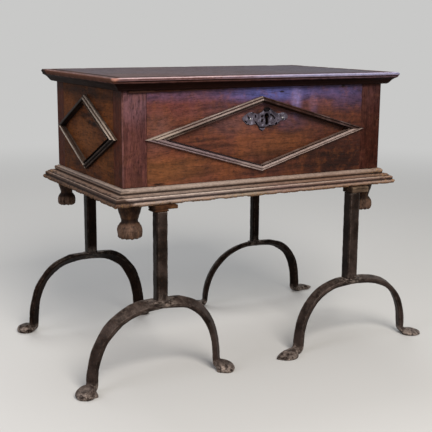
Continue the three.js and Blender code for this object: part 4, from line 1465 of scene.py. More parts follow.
@dataclass
class Lid:
    """The lid: its board, the moulding mitred round it and the thin strip under its front edge."""

    finishes: Finishes
    shop: MouldingShop
    reach: float = 28.0
    board_reach: float = 2.0
    wear: float = 0.8
    pitch: float = 2.6
    strip_left: float = -288.0
    strip_right: float = -78.0
    strip_height: float = 4.2
    strip_depth: float = 5.0
    strip_ease: float = 0.8
    strip_off_panel: float = 0.8
    strip_steps: int = 60

    def section(self) -> Section:
        """Returns the lid moulding's section."""
        low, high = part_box("front_lid_moulding")
        shares = (
            (0.13, 1), (0.04, 0.95), (0, 0.86), (0.02, 0.77), (0.08, 0.72), (0.08, 0.64), (0.12, 0.57),
            (0.25, 0.5), (0.39, 0.38), (0.5, 0.22), (0.58, 0.08), (0.7, 0),
        )
        return Section(shares, self.reach, (high.z - low.z) / MM, self.reach - self.board_reach)

    def build(self) -> None:
        """Builds the moulding, the board and the strip."""
        nodes = [f"{side}_lid_moulding" for side in SIDES]
        low, high = outer_box(nodes)
        runs = mitred_runs(rectangle(low, high, low.z), Vector((0, 0, 1)))
        section = self.section()
        pieces = {}
        for index, (side, run) in enumerate(zip(SIDES, runs)):
            piece = self.shop.length(
                f"{side}_lid_length", section, run, self.finishes.lid_edge, self.wear, 0.0, 11.0 + index,
                self.pitch,
            )
            pieces[side] = piece
        mitre = Vector((low.x, low.y, high.z))
        for side in ("front", "left"):
            bite(pieces[side], mitre, 13 * MM, in_mm(3, 3, -3))
        far_end = Vector((low.x, high.y, high.z - 6 * MM))
        for side in ("left", "back"):
            bite(pieces[side], far_end, 11 * MM, in_mm(4, -4, -1))
        for side, piece in pieces.items():
            put_on(piece, Body.LID, [f"{side}_lid_moulding"])
        finish_node("lid_board", self.finishes.lid_top)
        self.build_strip()

    def build_strip(self) -> None:
        """Builds the thin strip that tapers out along the left half of the front."""
        panel_low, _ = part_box("front_panel")
        lid_low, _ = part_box("lid_board")
        back = panel_low.y - self.strip_off_panel * MM
        front = back - self.strip_depth * MM
        top = lid_low.z - 0.1 * MM
        ease, steps = self.strip_ease * MM, self.strip_steps
        vertices = []
        for index in range(steps + 1):
            share = index / steps
            x = (self.strip_left + (self.strip_right - self.strip_left) * share) * MM
            drop = self.strip_height * MM * (1 - 0.85 * share ** 2)
            drop *= 0.9 + 0.2 * noise.noise(Vector((share * 14, 0, 3)))
            vertices += [
                (x, back, top), (x, back, top - drop), (x, front + ease, top - drop),
                (x, front, top - drop + ease), (x, front, top),
            ]
        mesh = new_mesh("lip_strip", vertices, swept_faces(steps, 5))
        note_numbers(mesh, crest=[0.5] * len(vertices))
        note_vectors(mesh, "lay", ((x, y + z, 0.0) for x, y, z in vertices))
        point_outwards(mesh)
        cover_with(mesh, self.finishes.strip)
        put_on(make_object("lip_strip", mesh), Body.LID)


@dataclass(frozen=True)
class Face:
    """One face of the box: the way to its right and the way out of it."""

    name: str
    right: Vector
    out: Vector


@dataclass
class Lozenges:
    """The reeded lozenge on the front and on each end."""

    finishes: Finishes
    shop: MouldingShop
    bar_width: float = 12.5
    wear: float = 0.7
    pitch: float = 2.0

    def section(self, height: float) -> Section:
        """Returns the bars' section.

        Args:
            height: How far they stand proud, in millimetres.

        Returns:
            The section, whose back is its inner edge.
        """
        shares = (
            (1, 0.34), (0.9, 0.48), (0.76, 0.48), (0.72, 0.84), (0.6, 1), (0.46, 1), (0.34, 0.86),
            (0.3, 0.56), (0.24, 0.7), (0.1, 0.72), (0, 0.58), (0, 0),
        )
        reeds = ((0.36, 0.56, 2, 0.3),)
        return Section(shares, self.bar_width, height, self.bar_width, step=0.6, reeds=reeds)

    def build(self) -> None:
        """Builds the twelve bars."""
        faces = (
            Face("front", Vector((1, 0, 0)), Vector((0, -1, 0))),
            Face("right", Vector((0, 1, 0)), Vector((1, 0, 0))),
            Face("left", Vector((0, -1, 0)), Vector((-1, 0, 0))),
        )
        kinds = self.finishes
        # Each bar takes a lit or a shaded copy, as light falls on it.
        rubs = {
            "front": (kinds.lozenge_tan_lit, kinds.lozenge_umber_shaded, kinds.lozenge_lit, kinds.lozenge_rosy_lit),
            "right": (kinds.lozenge_tan_lit, kinds.lozenge_umber_shaded, kinds.lozenge_tan_lit, kinds.lozenge_umber_shaded),
            "left": (kinds.lozenge_shade, kinds.lozenge_end_lit, kinds.lozenge_shade, kinds.lozenge_end_lit),
        }
        for face in faces:
            self.build_lozenge(face, rubs[face.name])

    def build_lozenge(self, face: Face, rubs: Sequence[Material]) -> None:
        """Builds the four bars of one lozenge.

        Args:
            face: The face that it lies on.
            rubs: The finish of each bar, a lit or a shaded copy, in the order of their places.
        """
        places = ("lower_right", "upper_right", "upper_left", "lower_left")
        nodes = [f"{face.name}_lozenge_{place}" for place in places]
        low, high = outer_box(nodes)
        middle = (low + high) / 2
        half = (high - low) / 2
        proud = abs(half.dot(face.out)) * 2
        base = middle - face.out * proud / 2
        side = face.right * abs(half.dot(face.right))
        rise = Vector((0, 0, half.z))
        corners = [base - rise, base + side, base + rise, base - side]
        section = self.section(proud / MM)
        for index, run in enumerate(mitred_runs(corners, face.out)):
            name = f"{face.name}_lozenge_bar_{places[index]}"
            piece = self.shop.length(
                name, section, run, rubs[index], self.wear, 0.0, 21.0 + index, self.pitch,
            )
            put_on(piece, Body.COFFER, [nodes[index]])


@dataclass
class TurnedFeet:
    """The four old turned feet: a tapered block, a waist and a cracked bulb."""

    finishes: Finishes
    sectors: int = 96
    levels: int = 84
    lobes: int = 11
    tenon: float = 20.0

    def profile(self, share: float) -> float:
        """Returns the radius at a share of the height, as a share of the widest radius.

        Args:
            share: 0 at the bottom and 1 at the top.

        Returns:
            The radius's share.
        """
        points = (
            (0.0, 0.82), (0.05, 0.96), (0.13, 1.0), (0.24, 1.0), (0.34, 0.94), (0.42, 0.8), (0.47, 0.66),
            (0.52, 0.65), (0.62, 0.73), (0.78, 0.87), (0.93, 0.97), (1.0, 1.0),
        )
        for (low, start), (high, end) in zip(points, points[1:]):
            if share <= high:
                step = (share - low) / (high - low)
                return start + (end - start) * step * step * (3 - 2 * step) * 0.5 + (end - start) * step * 0.5
        return points[-1][1]

    def build(self) -> None:
        """Builds the four feet."""
        for index, corner in enumerate(CORNERS):
            self.build_foot(corner, index)

    def build_foot(self, corner: str, index: int) -> None:
        """Builds one foot in the place of its node.

        Args:
            corner: The corner's name.
            index: Which foot it is, for its own cracks.
        """
        node = f"{corner}_turned_foot"
        low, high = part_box(node)
        middle = (low + high) / 2
        radius = (high.x - low.x) / 2
        top = high.z - self.tenon * MM
        vertices = [(middle.x, middle.y, low.z)]
        for level in range(self.levels + 1):
            share = level / self.levels
            bulb = max(0.0, 1 - share / 0.47)
            for sector in range(self.sectors):
                angle = 2 * math.pi * sector / self.sectors
                across, deep = math.cos(angle), math.sin(angle)
                wobble = noise.noise(Vector((across * 3, deep * 3, share * 2 + index * 7)))
                lobe = 0.5 + 0.5 * math.cos(self.lobes * angle + wobble * 2.5)
                crack = max(0.0, noise.noise(Vector((angle * 9, share * 3.5, index * 5 + 1))) - 0.1)
                pit = abs(noise.noise(Vector((angle * 14, share * 34, index * 3 + 2))))
                loss = bulb ** 0.6 * (0.1 * (1 - lobe) + 0.16 * crack + 0.05 * pit) if bulb else 0.012 * pit
                reach = radius * (self.profile(share) * (1 - loss) - 0.006)
                z = low.z + (top - low.z) * share
                if share < 0.05:
                    z += (0.5 - 0.5 * lobe) * 2.0 * MM * (1 - share / 0.05)
                vertices.append((middle.x + across * reach, middle.y + deep * reach, z))
        vertices.append((middle.x, middle.y, top))
        mesh = new_mesh(f"{corner}_foot", vertices, turned_faces(self.levels, self.sectors))
        point_outwards(mesh)
        shade_smooth(mesh, 60)
        cover_with(mesh, self.finishes.foot)
        put_on(make_object(f"{corner}_foot", mesh), Body.COFFER, [node])


# Iron work
class BarTree(GroupTree):
    """Draws a chamfered bar along a line whose points say how broad and thick it is."""

    name = "drawn_bar"
    inputs = {"Float": ("Width", "Thickness", "Ease", "Pitch")}

    def wire(self, maker: Maker, given: Made) -> Field:
        """Wires the nodes.

        Args:
            maker: The maker of the tree.
            given: The tree's inputs.

        Returns:
            The bar.
        """
        line = maker.add("GeometryNodeMeshToCurve", {"Mesh": given["Geometry"]})
        pitch = {"Curve": line["Curve"], "Length": given["Pitch"]}
        even = maker.add("GeometryNodeResampleCurve", pitch, mode="LENGTH")
        place = maker.add("GeometryNodeInputPosition")["Position"]
        noted = maker.add(
            "GeometryNodeStoreNamedAttribute", {"Geometry": even["Curve"], "Name": "centre", "Value": place},
            data_type="FLOAT_VECTOR", domain="POINT",
        )
        size = {"Width": given["Width"], "Height": given["Thickness"]}
        sides = maker.add("GeometryNodeCurvePrimitiveQuadrilateral", size, mode="RECTANGLE")
        chamfer = {"Curve": sides["Curve"], "Radius": given["Ease"], "Count": 1}
        eased = maker.add("GeometryNodeFilletCurve", chamfer, mode="POLY")
        bar = maker.add("GeometryNodeCurveToMesh", {
            "Curve": noted["Geometry"], "Profile Curve": eased["Curve"], "Fill Caps": True,
        })
        centre = carried(maker, "centre", "FLOAT_VECTOR")
        broad, thick = carried(maker, "broad"), carried(maker, "thick")
        scale = maker.add("ShaderNodeCombineXYZ", {"X": thick, "Y": broad, "Z": thick})["Vector"]
        shaped = {"Geometry": bar["Mesh"], "Position": centre + (place - centre) * scale}
        return maker.add("GeometryNodeSetPosition", shaped)["Geometry"]

    def draw(
        self, name: str, line: Sequence[Vector], broad: Sequence[float], thick: Sequence[float], ease: float,
    ) -> Mesh:
        """Draws a bar along a line, with its sizes in millimetres.

        Args:
            name: The name of its mesh.
            line: The points of its centre line.
            broad: Its size across the line's plane at each point.
            thick: Its size in the line's plane at each point.
            ease: The width of its chamfers.

        Returns:
            The bar's mesh.
        """
        mesh = new_mesh(name, line, [], [(index, index + 1) for index in range(len(line) - 1)])
        width, thickness = max(broad), max(thick)
        note_numbers(mesh, broad=[value / width for value in broad])
        note_numbers(mesh, thick=[value / thickness for value in thick])
        made = make_object(name, mesh)
        sizes = {"Width": width, "Thickness": thickness, "Ease": ease, "Pitch": 2.5}
        self.run(made, {label: value * MM for label, value in sizes.items()})
        drawn = made.data
        bpy.data.objects.remove(made)
        return drawn


class HammerTree(GroupTree):
    """Presses hammer dents into a skin and bows it a little."""

    name = "hammered"
    inputs = {"Float": ("Dent depth", "Dents per metre", "Bow depth", "Seed"), "Material": ("Finish",)}

    def wire(self, maker: Maker, given: Made) -> Field:
        """Wires the nodes.

        Args:
            maker: The maker of the tree.
            given: The tree's inputs.

        Returns:
            The dented skin.
        """
        seed = given["Seed"]
        place = maker.add("GeometryNodeInputPosition")["Position"]
        outward = maker.add("GeometryNodeInputNormal")["Normal"]
        warped = place + (maker.clouds(place, 60.0, seed=seed) - 0.5) * 0.006
        blows = {"Vector": warped, "W": seed, "Scale": given["Dents per metre"], "Smoothness": 0.35}
        dents = maker.add("ShaderNodeTexVoronoi", blows, feature="SMOOTH_F1", voronoi_dimensions="4D")
        pressed = maker.step(dents["Distance"], 0.75, 0.1) * given["Dent depth"]
        bowed = (maker.clouds(place, 22.0, detail=2, seed=seed + 4.0) - 0.5) * given["Bow depth"]
        grit = (maker.clouds(place, 330.0, detail=2, seed=seed + 8.0) - 0.5) * given["Dent depth"] * 0.5
        moved = {"Geometry": given["Geometry"], "Offset": outward * (bowed + grit - pressed)}
        return maker.add("GeometryNodeSetPosition", moved)["Geometry"]


@dataclass(frozen=True)
class Limb:
    """Half of an arch: its span, its toe's length, how square its curve is, and a lobe by its foot."""

    span: float
    toe: float
    power: float
    lobe: Triple = (0.0, 0.0, 0.0)


@dataclass(frozen=True)
class Leg:
    """One iron leg, in millimetres from the foot of its upright."""

    name: str
    crown: float
    ankle_depth: float
    crown_depth: float
    left: Limb
    right: Limb
    pad: PadShape
    side: int
    seed: float
    welds: tuple[tuple[float, float, float, float], ...] = ()

    def depth_at(self, level: float) -> float:
        """Returns the depth of the arch's bar at a height: even to the middle, then growing."""
        share = clamp(2 * level / self.crown - 1)
        return self.ankle_depth + (self.crown_depth - self.ankle_depth) * share


def add_lump(shell: BMesh, middle: Vector, half: Vector, seed: float) -> None:
    """Adds a rough lump to a shell.

    Args:
        shell: The shell.
        middle: The lump's middle, in metres.
        half: Its half sizes, in metres.
        seed: Which roughness it gets.
    """
    place = Matrix.Translation(middle) @ Matrix.Diagonal((*half, 1.0))
    made = bmesh.ops.create_icosphere(shell, subdivisions=3, radius=1.0, matrix=place)
    for vertex in made["verts"]:
        away = vertex.co - middle
        vertex.co = middle + away * (1 + 0.22 * noise.noise(away * 260 + Vector((seed, seed, seed))))


def edge_values(mesh: Mesh, full: float = 0.16, most: float = 0.6) -> list[float]:
    """Measures how sharply a mesh turns outwards at each point, for the wear on its edges.

    Args:
        mesh: The mesh.
        full: The slope to its neighbours that counts as a full edge.
        most: The value of a full edge.

    Returns:
        A value for each point, 0 on flats and in hollows.
    """
    sums, counts = [0.0] * len(mesh.vertices), [0] * len(mesh.vertices)
    for edge in mesh.edges:
        first, second = (mesh.vertices[index] for index in edge.vertices)
        way = (second.co - first.co).normalized()
        for vertex, sign in ((first, -1), (second, 1)):
            sums[vertex.index] += sign * way.dot(vertex.normal)
            counts[vertex.index] += 1
    slopes = [total / max(count, 1) for total, count in zip(sums, counts)]
    return [most * clamp(slope / full - 0.25) for slope in slopes]


@dataclass
class IronLegs:
    """The four legs: each an upright bar on a forged arch that ends in two feet."""

    finishes: Finishes
    bars: BarTree
    blows: HammerTree
    thickness: float = 13.0
    toe_radius: float = 10.0
    lump_height: float = 16.5
    leaf_height: float = 10.5
    pad_splay: float = 16.0
    chamfer: float = 3.2
    voxel: float = 1.3

    def legs(self) -> list[Leg]:
        """Lists the legs with their sizes."""
        front_welds = (
            (-22.0, -9.0, -3.5, 6.0), (-13.0, -13.0, -1.5, 6.5), (-3.0, -14.0, -3.0, 5.5),
            (5.0, -13.0, 0.0, 5.0), (12.0, -12.0, -3.0, 4.5), (-15.0, -6.0, 2.5, 5.5), (14.0, -3.0, 2.0, 5.0),
            (0.0, -13.5, 3.0, 4.0), (-50.0, -9.0, -19.0, 5.0), (-41.0, -10.0, -15.5, 5.0),
            (-32.0, -9.0, -13.5, 4.0),
        )
        ring = (
            (-12.0, -11.0, 0.0, 4.6), (-4.0, -14.0, 0.5, 4.6), (5.0, -14.5, 1.0, 4.4),
            (12.0, -12.0, 0.5, 4.4), (-15.0, 0.0, 1.0, 4.4), (15.0, 0.0, 1.0, 4.4), (0.0, 14.0, 1.0, 4.4),
        )
        back_ring = (
            (-12.0, -9.0, 0.0, 4.2), (-3.0, -11.5, 0.5, 4.2), (6.0, -11.0, 0.5, 4.0),
            (-12.5, 3.0, 1.0, 4.0), (12.0, 2.0, 1.0, 4.0),
        )
        lump, leaf = PadShape.LUMP, PadShape.LEAF
        return [
            Leg(
                "front_left", crown=164.0, ankle_depth=18.0, crown_depth=32.0, side=-1, pad=lump, seed=1.0,
                left=Limb(144.0, 19.0, 2.3, (16.0, -7.0, 6.5)),
                right=Limb(124.0, 12.0, 2.6, (-13.0, -4.0, 8.0)), welds=front_welds,
            ),
            Leg(
                "front_right", crown=150.0, ankle_depth=26.0, crown_depth=27.0, side=-1, pad=leaf, seed=2.0,
                left=Limb(128.0, 38.0, 2.37), right=Limb(149.0, 20.0, 2.67), welds=ring,
            ),
            Leg(
                "back_left", crown=172.5, ankle_depth=18.0, crown_depth=32.0, side=1, pad=lump, seed=3.0,
                left=Limb(140.0, 14.0, 2.6, (12.0, -5.0, 7.0)), right=Limb(118.0, 14.0, 2.5), welds=back_ring,
            ),
            Leg(
                "back_right", crown=151.0, ankle_depth=26.0, crown_depth=27.0, side=1, pad=leaf, seed=4.0,
                left=Limb(141.5, 30.0, 2.15), right=Limb(125.0, 38.0, 2.8), welds=back_ring,
            ),
        ]

    def build(self) -> None:
        """Builds each leg's arch and upright."""
        for leg in self.legs():
            low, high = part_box(f"{leg.name}_leg_upright")
            foot = Vector(((low.x + high.x) / 2, (low.y + high.y) / 2, 0))
            self.build_arch(leg, foot)
            self.build_upright(leg, foot, low, high)

    def half_line(self, limb: Limb, crown: float) -> list[Pair]:
        """Traces half of an arch's centre line, from its toe up to its crown.

        Args:
            limb: The half's sizes.
            crown: The height of the arch's top.

        Returns:
            Points across and up, in millimetres.
        """
        base = self.thickness / 2
        rise = crown - 2 * base
        points = [(limb.span + limb.toe * share, base) for share in (1.0, 0.8)]
        for step in range(8):
            angle = step / 8 * math.pi / 2
            points.append((
                limb.span + self.toe_radius * (1 - math.sin(angle)),
                base + self.toe_radius * (1 - math.cos(angle)),
            ))
        heel = math.asin((self.toe_radius / rise) ** (limb.power / 2))
        for step in range(40):
            angle = heel + (math.pi / 2 - heel) * step / 40
            points.append((
                limb.span * math.cos(angle) ** (2 / limb.power),
                base + rise * math.sin(angle) ** (2 / limb.power),
            ))
        return points

    def centre_line(self, leg: Leg, foot: Vector) -> tuple[list[Vector], list[float], list[float]]:
        """Traces an arch's whole centre line, whose toes turn towards the middles of its feet.

        Args:
            leg: The leg.
            foot: The point on the floor under its upright.

        Returns:
            Points in metres, with the bar's depth and its thickness at each of them in millimetres.
        """
        left = [(-across, up) for across, up in self.half_line(leg.left, leg.crown)]
        right = list(reversed(self.half_line(leg.right, leg.crown)))
        top = (0.0, leg.crown - self.thickness / 2)
        line, broad, thick = [], [], []
        for across, up in [*left, top, *right]:
            limb = leg.left if across < 0 else leg.right
            beyond = clamp((abs(across) - limb.span) / limb.toe)
            line.append(foot + in_mm(across, leg.side * self.pad_splay * 0.8 * beyond, up))
            broad.append(leg.depth_at(up) - 1.2)
            sway = noise.noise(Vector((across * 0.03, up * 0.03, leg.seed * 5)))
            thick.append(self.thickness - 0.8 + 1.6 * sway)
        return line, broad, thick

    def pad(self, leg: Leg, limb: Limb, middle: Vector, outward: float) -> tuple[list[Vector], Faces]:
        """Builds the flattened foot at one end of an arch, which rises towards the ankle.

        Args:
            leg: The leg.
            limb: The half of the arch that it ends.
            middle: The foot's middle on the floor, in metres.
            outward: -1 for the left end and 1 for the right end.

        Returns:
            Its points and faces.
        """
        leaf = leg.pad is PadShape.LEAF
        if leaf:
            half_length, half_depth, height = 27.0, 22.0, self.leaf_height
            profile = (
                (0.86, 0), (0.97, 0.14), (1, 0.34), (0.95, 0.6), (0.8, 0.82), (0.55, 0.96), (0.25, 1.0),
            )
        else:
            half_length, half_depth, height = 21.0, 23.0, self.lump_height
            profile = (
                (0.8, 0), (0.94, 0.1), (1, 0.32), (0.97, 0.6), (0.86, 0.86), (0.66, 1.0), (0.35, 0.97),
            )
        to_ankle = Vector((-outward * limb.toe, -leg.side * self.pad_splay, 0)).normalized()
        sectors = 40
        points = [middle.copy()]
        for across, up in profile:
            for sector in range(sectors):
                angle = 2 * math.pi * sector / sectors
                way = Vector((math.cos(angle), math.sin(angle), 0))
                lump = 1 - 0.07 * (1 + noise.noise(way * 1.6 + Vector((0, 0, leg.seed * 3 + outward))))
                tip = max(0.0, way.x * outward)
                near = way.dot(to_ankle) * across
                rise = 1 + 0.42 * max(0.0, near) - (0.62 if leaf else 0.12) * max(0.0, -near)
                slim = 1 - (0.42 if leaf else 0.0) * tip * tip
                points.append(middle + in_mm(
                    way.x * half_length * across * lump, way.y * half_depth * across * lump * slim,
                    height * up * rise,
                ))
        points.append(middle + in_mm(0, 0, height * 0.95))
        return points, turned_faces(len(profile) - 1, sectors)

    def build_arch(self, leg: Leg, foot: Vector) -> None:
        """Forges an arch and its feet into one skin.

        Args:
            leg: The leg.
            foot: The point on the floor under its upright.
        """
        node = f"{leg.name}_leg_arch"
        name = f"{leg.name}_forged_arch"
        mesh = self.bars.draw(name, *self.centre_line(leg, foot), self.chamfer)
        with opened(mesh) as shell:
            for outward, limb in ((-1.0, leg.left), (1.0, leg.right)):
                middle = foot + Vector((outward * (limb.span + limb.toe), leg.side * self.pad_splay, 0)) * MM
                points, faces = self.pad(leg, limb, middle, outward)
                corners = [shell.verts.new(point) for point in points]
                for face in faces:
                    shell.faces.new([corners[index] for index in face])
                across, deep, radius = limb.lobe
                if radius:
                    lobe = middle + in_mm(across, deep, radius * 0.55)
                    add_lump(shell, lobe, in_mm(radius, radius, radius * 0.9), leg.seed)
            crown = foot + Vector((0, 0, leg.crown * MM))
            for across, deep, up, radius in leg.welds:
                place = crown + in_mm(across, deep, up)
                add_lump(shell, place, Vector((1.3, 1, 0.8)) * radius * MM, across)
            bmesh.ops.recalc_face_normals(shell, faces=shell.faces)
        piece = make_object(name, mesh)
        self.forge(piece, node, leg.seed)
        if leg.pad is PadShape.LUMP:
            toe = foot + in_mm(leg.right.span + leg.right.toe, leg.side * self.pad_splay, 0)
            bite(piece, toe + in_mm(-9, leg.side * 12, 12), 9 * MM, in_mm(4, 0, -6))
        self.rub(piece, leg, foot)
        put_on(piece, Body.COFFER, [node])

    def build_upright(self, leg: Leg, foot: Vector, low: Vector, high: Vector) -> None:
        """Forges an upright, up to the wood that it carries.

        Args:
            leg: The leg.
            foot: The point on the floor under it.
            low: The lowest corner of its node.
            high: The highest corner of its node.
        """
        node = f"{leg.name}_leg_upright"
        name = f"{leg.name}_forged_upright"
        shims = [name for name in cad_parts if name.startswith(leg.name) and name.endswith("shim")]
        plinth_low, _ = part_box("front_plinth")
        head = min([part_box(shim)[0].z for shim in shims] + [plinth_low.z]) - 0.3 * MM
        bottom = (leg.crown - 4.0) * MM
        count = 12
        line = [foot + Vector((0, 0, bottom + (head - bottom) * index / count)) for index in range(count + 1)]
        sway = [noise.noise(Vector((index * 0.45, leg.seed, 2))) for index in range(count + 1)]
        wide = [(high.x - low.x) / MM - 0.9 + 0.8 * value for value in sway]
        deep = [(high.y - low.y) / MM - 0.9 - 0.8 * value for value in sway]
        piece = make_object(name, self.bars.draw(name, line, deep, wide, self.chamfer))
        self.forge(piece, node, leg.seed + 20, clamp_bottom=False)
        rubbed = [
            min(1.0, 0.45 * clamp(1 - (vertex.co.z - leg.crown * MM) / (16 * MM)) + edge)
            for vertex, edge in zip(piece.data.vertices, edge_values(piece.data))
        ]
        # Painted shade: the faces that look left are darkened, carried under the cut attribute.
        left_face_shade = [0.6 * clamp(-vertex.normal.x * 2 - 0.6) for vertex in piece.data.vertices]
        note_numbers(piece.data, rubbed=rubbed, cut=left_face_shade)
        put_on(piece, Body.COFFER, [node])

    def forge(self, piece: Object, node: str, seed: float, clamp_bottom: bool = True) -> None:
        """Welds a piece's parts into one skin, hammers it and keeps it in its node's box.

        Args:
            piece: The piece.
            node: The node that it stands for.
            seed: Which dents it gets.
            clamp_bottom: Whether it also stays above the node's lowest level.
        """
        reskin(piece, self.voxel)
        self.soften_feet(piece)
        # Back legs take the shaded copy of the iron, which paints their shade.
        self.blows.run(piece, {
            "Dent depth": 0.45 * MM, "Dents per metre": 75.0, "Bow depth": 1.0 * MM, "Seed": seed,
            "Finish": self.finishes.shaded_back_leg if node.startswith("back") else self.finishes.leg,
        })
        low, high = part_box(node)
        for vertex in piece.data.vertices:
            floor = Vector((low.x, low.y, low.z if clamp_bottom else vertex.co.z))
            vertex.co = [min(max(part, least), most) for part, least, most in zip(vertex.co, floor, high)]
        shade_smooth(piece.data)

    def soften_feet(self, piece: Object, level: float = 24.0, turns: int = 7) -> None:
        """Smooths a skin near the floor, where the bar flows into its feet.

        Args:
            piece: The piece.
            level: How high the smoothing reaches, in millimetres.
            turns: How often it is smoothed.
        """
        every_way = {f"use_axis_{axis}": True for axis in "xyz"}
        with opened(piece.data) as shell:
            feet = [vertex for vertex in shell.verts if 2 * MM < vertex.co.z < level * MM]
            for _ in range(turns):
                bmesh.ops.smooth_vert(shell, verts=feet, factor=0.5, **every_way)

    def rub(self, piece: Object, leg: Leg, foot: Vector) -> None:
        """Marks where an arch is rubbed bright, its feet and the weld at its crown, and paints a highlight on
        the upward faces of its curve.

        Args:
            piece: The arch.
            leg: The leg.
            foot: The point on the floor under its upright.
        """
        crown = foot + Vector((0, 0, leg.crown * MM))
        values = []
        for vertex in piece.data.vertices:
            low = clamp((22 * MM - vertex.co.z) / (12 * MM))
            near = clamp(1 - (vertex.co - crown).length / (34 * MM))
            # Painted highlight: upward faces high on the arch get a share of the rubbed bright colour.
            top = max(0.0, vertex.normal.z - 0.3) * (0.3 if vertex.co.z > 60 * MM else 0.0)
            values.append(low * 0.85 + near * (1.1 if leg.side < 0 else 0.5) + top)
        edges = edge_values(piece.data)
        shares = [min(1.0, value + edge) for value, edge in zip(values, edges)]
        note_numbers(piece.data, rubbed=shares)


@dataclass
class Shims:
    """The slips of wood between the plinth and the front legs."""

    finishes: Finishes
    ease: float = 1.6

    def build(self) -> None:
        """Builds the three shims."""
        for node in ("front_left_upper_shim", "front_left_lower_shim", "front_right_shim"):
            material = self.finishes.grey_shim if node == "front_right_shim" else self.finishes.shim
            piece = eased_copy(node, f"{node}_slip", material, self.ease)
            put_on(piece, Body.COFFER, [node])


@dataclass(frozen=True)
class Stroke:
    """A piercing or an engraved line, in millimetres from the middle of the keyhole."""

    start: Pair
    end: Pair
    width: float
    depth: float = 0.8

    def cover(self, across: float, up: float) -> float:
        """Tells how much of a point the stroke covers.

        Args:
            across: The point's distance to the right of the keyhole's middle.
            up: Its distance above it.

        Returns:
            1 inside the stroke and 0 outside.
        """
        start, end, point = Vector(self.start), Vector(self.end), Vector((across, up))
        way = end - start
        share = clamp((point - start).dot(way) / max(way.length_squared, 1e-6))
        far = (point - start - way * share).length
        return clamp((self.width / 2 + 0.35 - far) / 0.5)


@dataclass
class Escutcheon:
    """The pierced plate round the keyhole, with its engraved lines."""

    finishes: Finishes
    voxel: float = 0.5
    keyhole: Pair = (12.5, 500.5)

    def strokes(self) -> list[Stroke]:
        """Lists the piercings and the engraved lines."""
        piercings = [
            (-3.5, 17.2, 4.5, 18.4, 7.4), (0.0, 4.0, 0.2, 4.4, 11.0),
            (0.2, 2.0, 0.4, -9.0, 7.0), (-10.8, 5.0, -9.6, 5.2, 5.4),
            (-11.5, -4.6, -9.0, -2.6, 3.2), (-9.0, -2.6, -10.0, -6.0, 2.8),
            (9.5, 7.5, 14.0, 5.4, 3.0), (14.0, 5.4, 19.5, 0.0, 3.2),
            (37.0, -2.2, 41.0, -2.4, 2.8), (45.6, -3.2, 46.4, -3.8, 3.0),
            (-43.5, 5.5, -39.5, 0.6, 2.6), (-26.2, 7.4, -25.4, 3.4, 2.6),
            (-26.0, -6.0, -22.0, -11.0, 2.8), (-22.0, -11.0, -18.5, -16.6, 3.4),
            (-18.5, -16.6, -8.0, -17.2, 2.6), (-8.0, -17.2, 3.0, -17.4, 2.8),
            (-17.5, -20.0, -11.0, -24.5, 3.2), (6.5, -14.4, 16.0, -15.2, 3.0),
            (22.0, -11.6, 24.0, -10.0, 4.0), (-42.5, -10.0, -39.0, -14.5, 2.4),
            (-50.5, -3.0, -46.0, -6.0, 2.2), (28.0, -8.5, 31.5, -12.0, 2.4),
            (-33.0, 13.5, -29.0, 12.0, 2.0), (31.0, 13.0, 28.0, 16.0, 1.8),
        ]
        hatch = [(12.5 + 3.6 * line, 14.2, 23.0 + 3.4 * line, 3.2, 0.8, 0.4) for line in range(4)]
        scratches = [
            (27.0, -3.0, 33.0, -9.5, 1.0, 0.4), (-20.0, 9.0, -16.0, -8.0, 0.9, 0.4),
            (-33.0, 4.0, -27.0, -6.5, 0.9, 0.4), (21.0, -5.5, 8.5, -11.0, 0.8, 0.3),
            (-36.0, 11.0, -31.0, 10.0, 1.4, 0.5), (31.0, 8.0, 35.0, 2.0, 0.8, 0.3),
        ]
        return [Stroke(row[:2], row[2:4], *row[4:]) for row in (*piercings, *hatch, *scratches)]

    def build(self) -> None:
        """Engraves a copy of the frame's plate."""
        piece = eased_copy("escutcheon", "pierced_escutcheon", self.finishes.plate, 0.2)
        reskin(piece, self.voxel)
        cover_with(piece.data, self.finishes.plate)
        low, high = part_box("escutcheon")
        strokes = self.strokes()
        cuts, rubs = [], []
        for vertex in piece.data.vertices:
            across, up = vertex.co.x / MM - self.keyhole[0], vertex.co.z / MM - self.keyhole[1]
            front = clamp((high.y - vertex.co.y) / (high.y - low.y) * 2 - 0.8)
            cover, depth = max((stroke.cover(across, up) * stroke.depth, stroke.depth) for stroke in strokes)
            swell = noise.noise(Vector((across * 0.16, up * 0.16, 4.0)))
            vertex.co.y += front * (cover + 0.2 * max(0.0, -swell)) * MM
            # The piercings are pressed in and painted near-black, painted shade in the place of open holes;
            # the engraved lines are painted dark too.
            cuts.append(front * min(1.0, cover / depth * (0.4 + 0.8 * depth)))
            rubs.append(front * max(0.0, swell) * 1.4)
        note_numbers(piece.data, cut=cuts, rubbed=rubs)
        shade_smooth(piece.data)
        put_on(piece, Body.COFFER, ["escutcheon"])


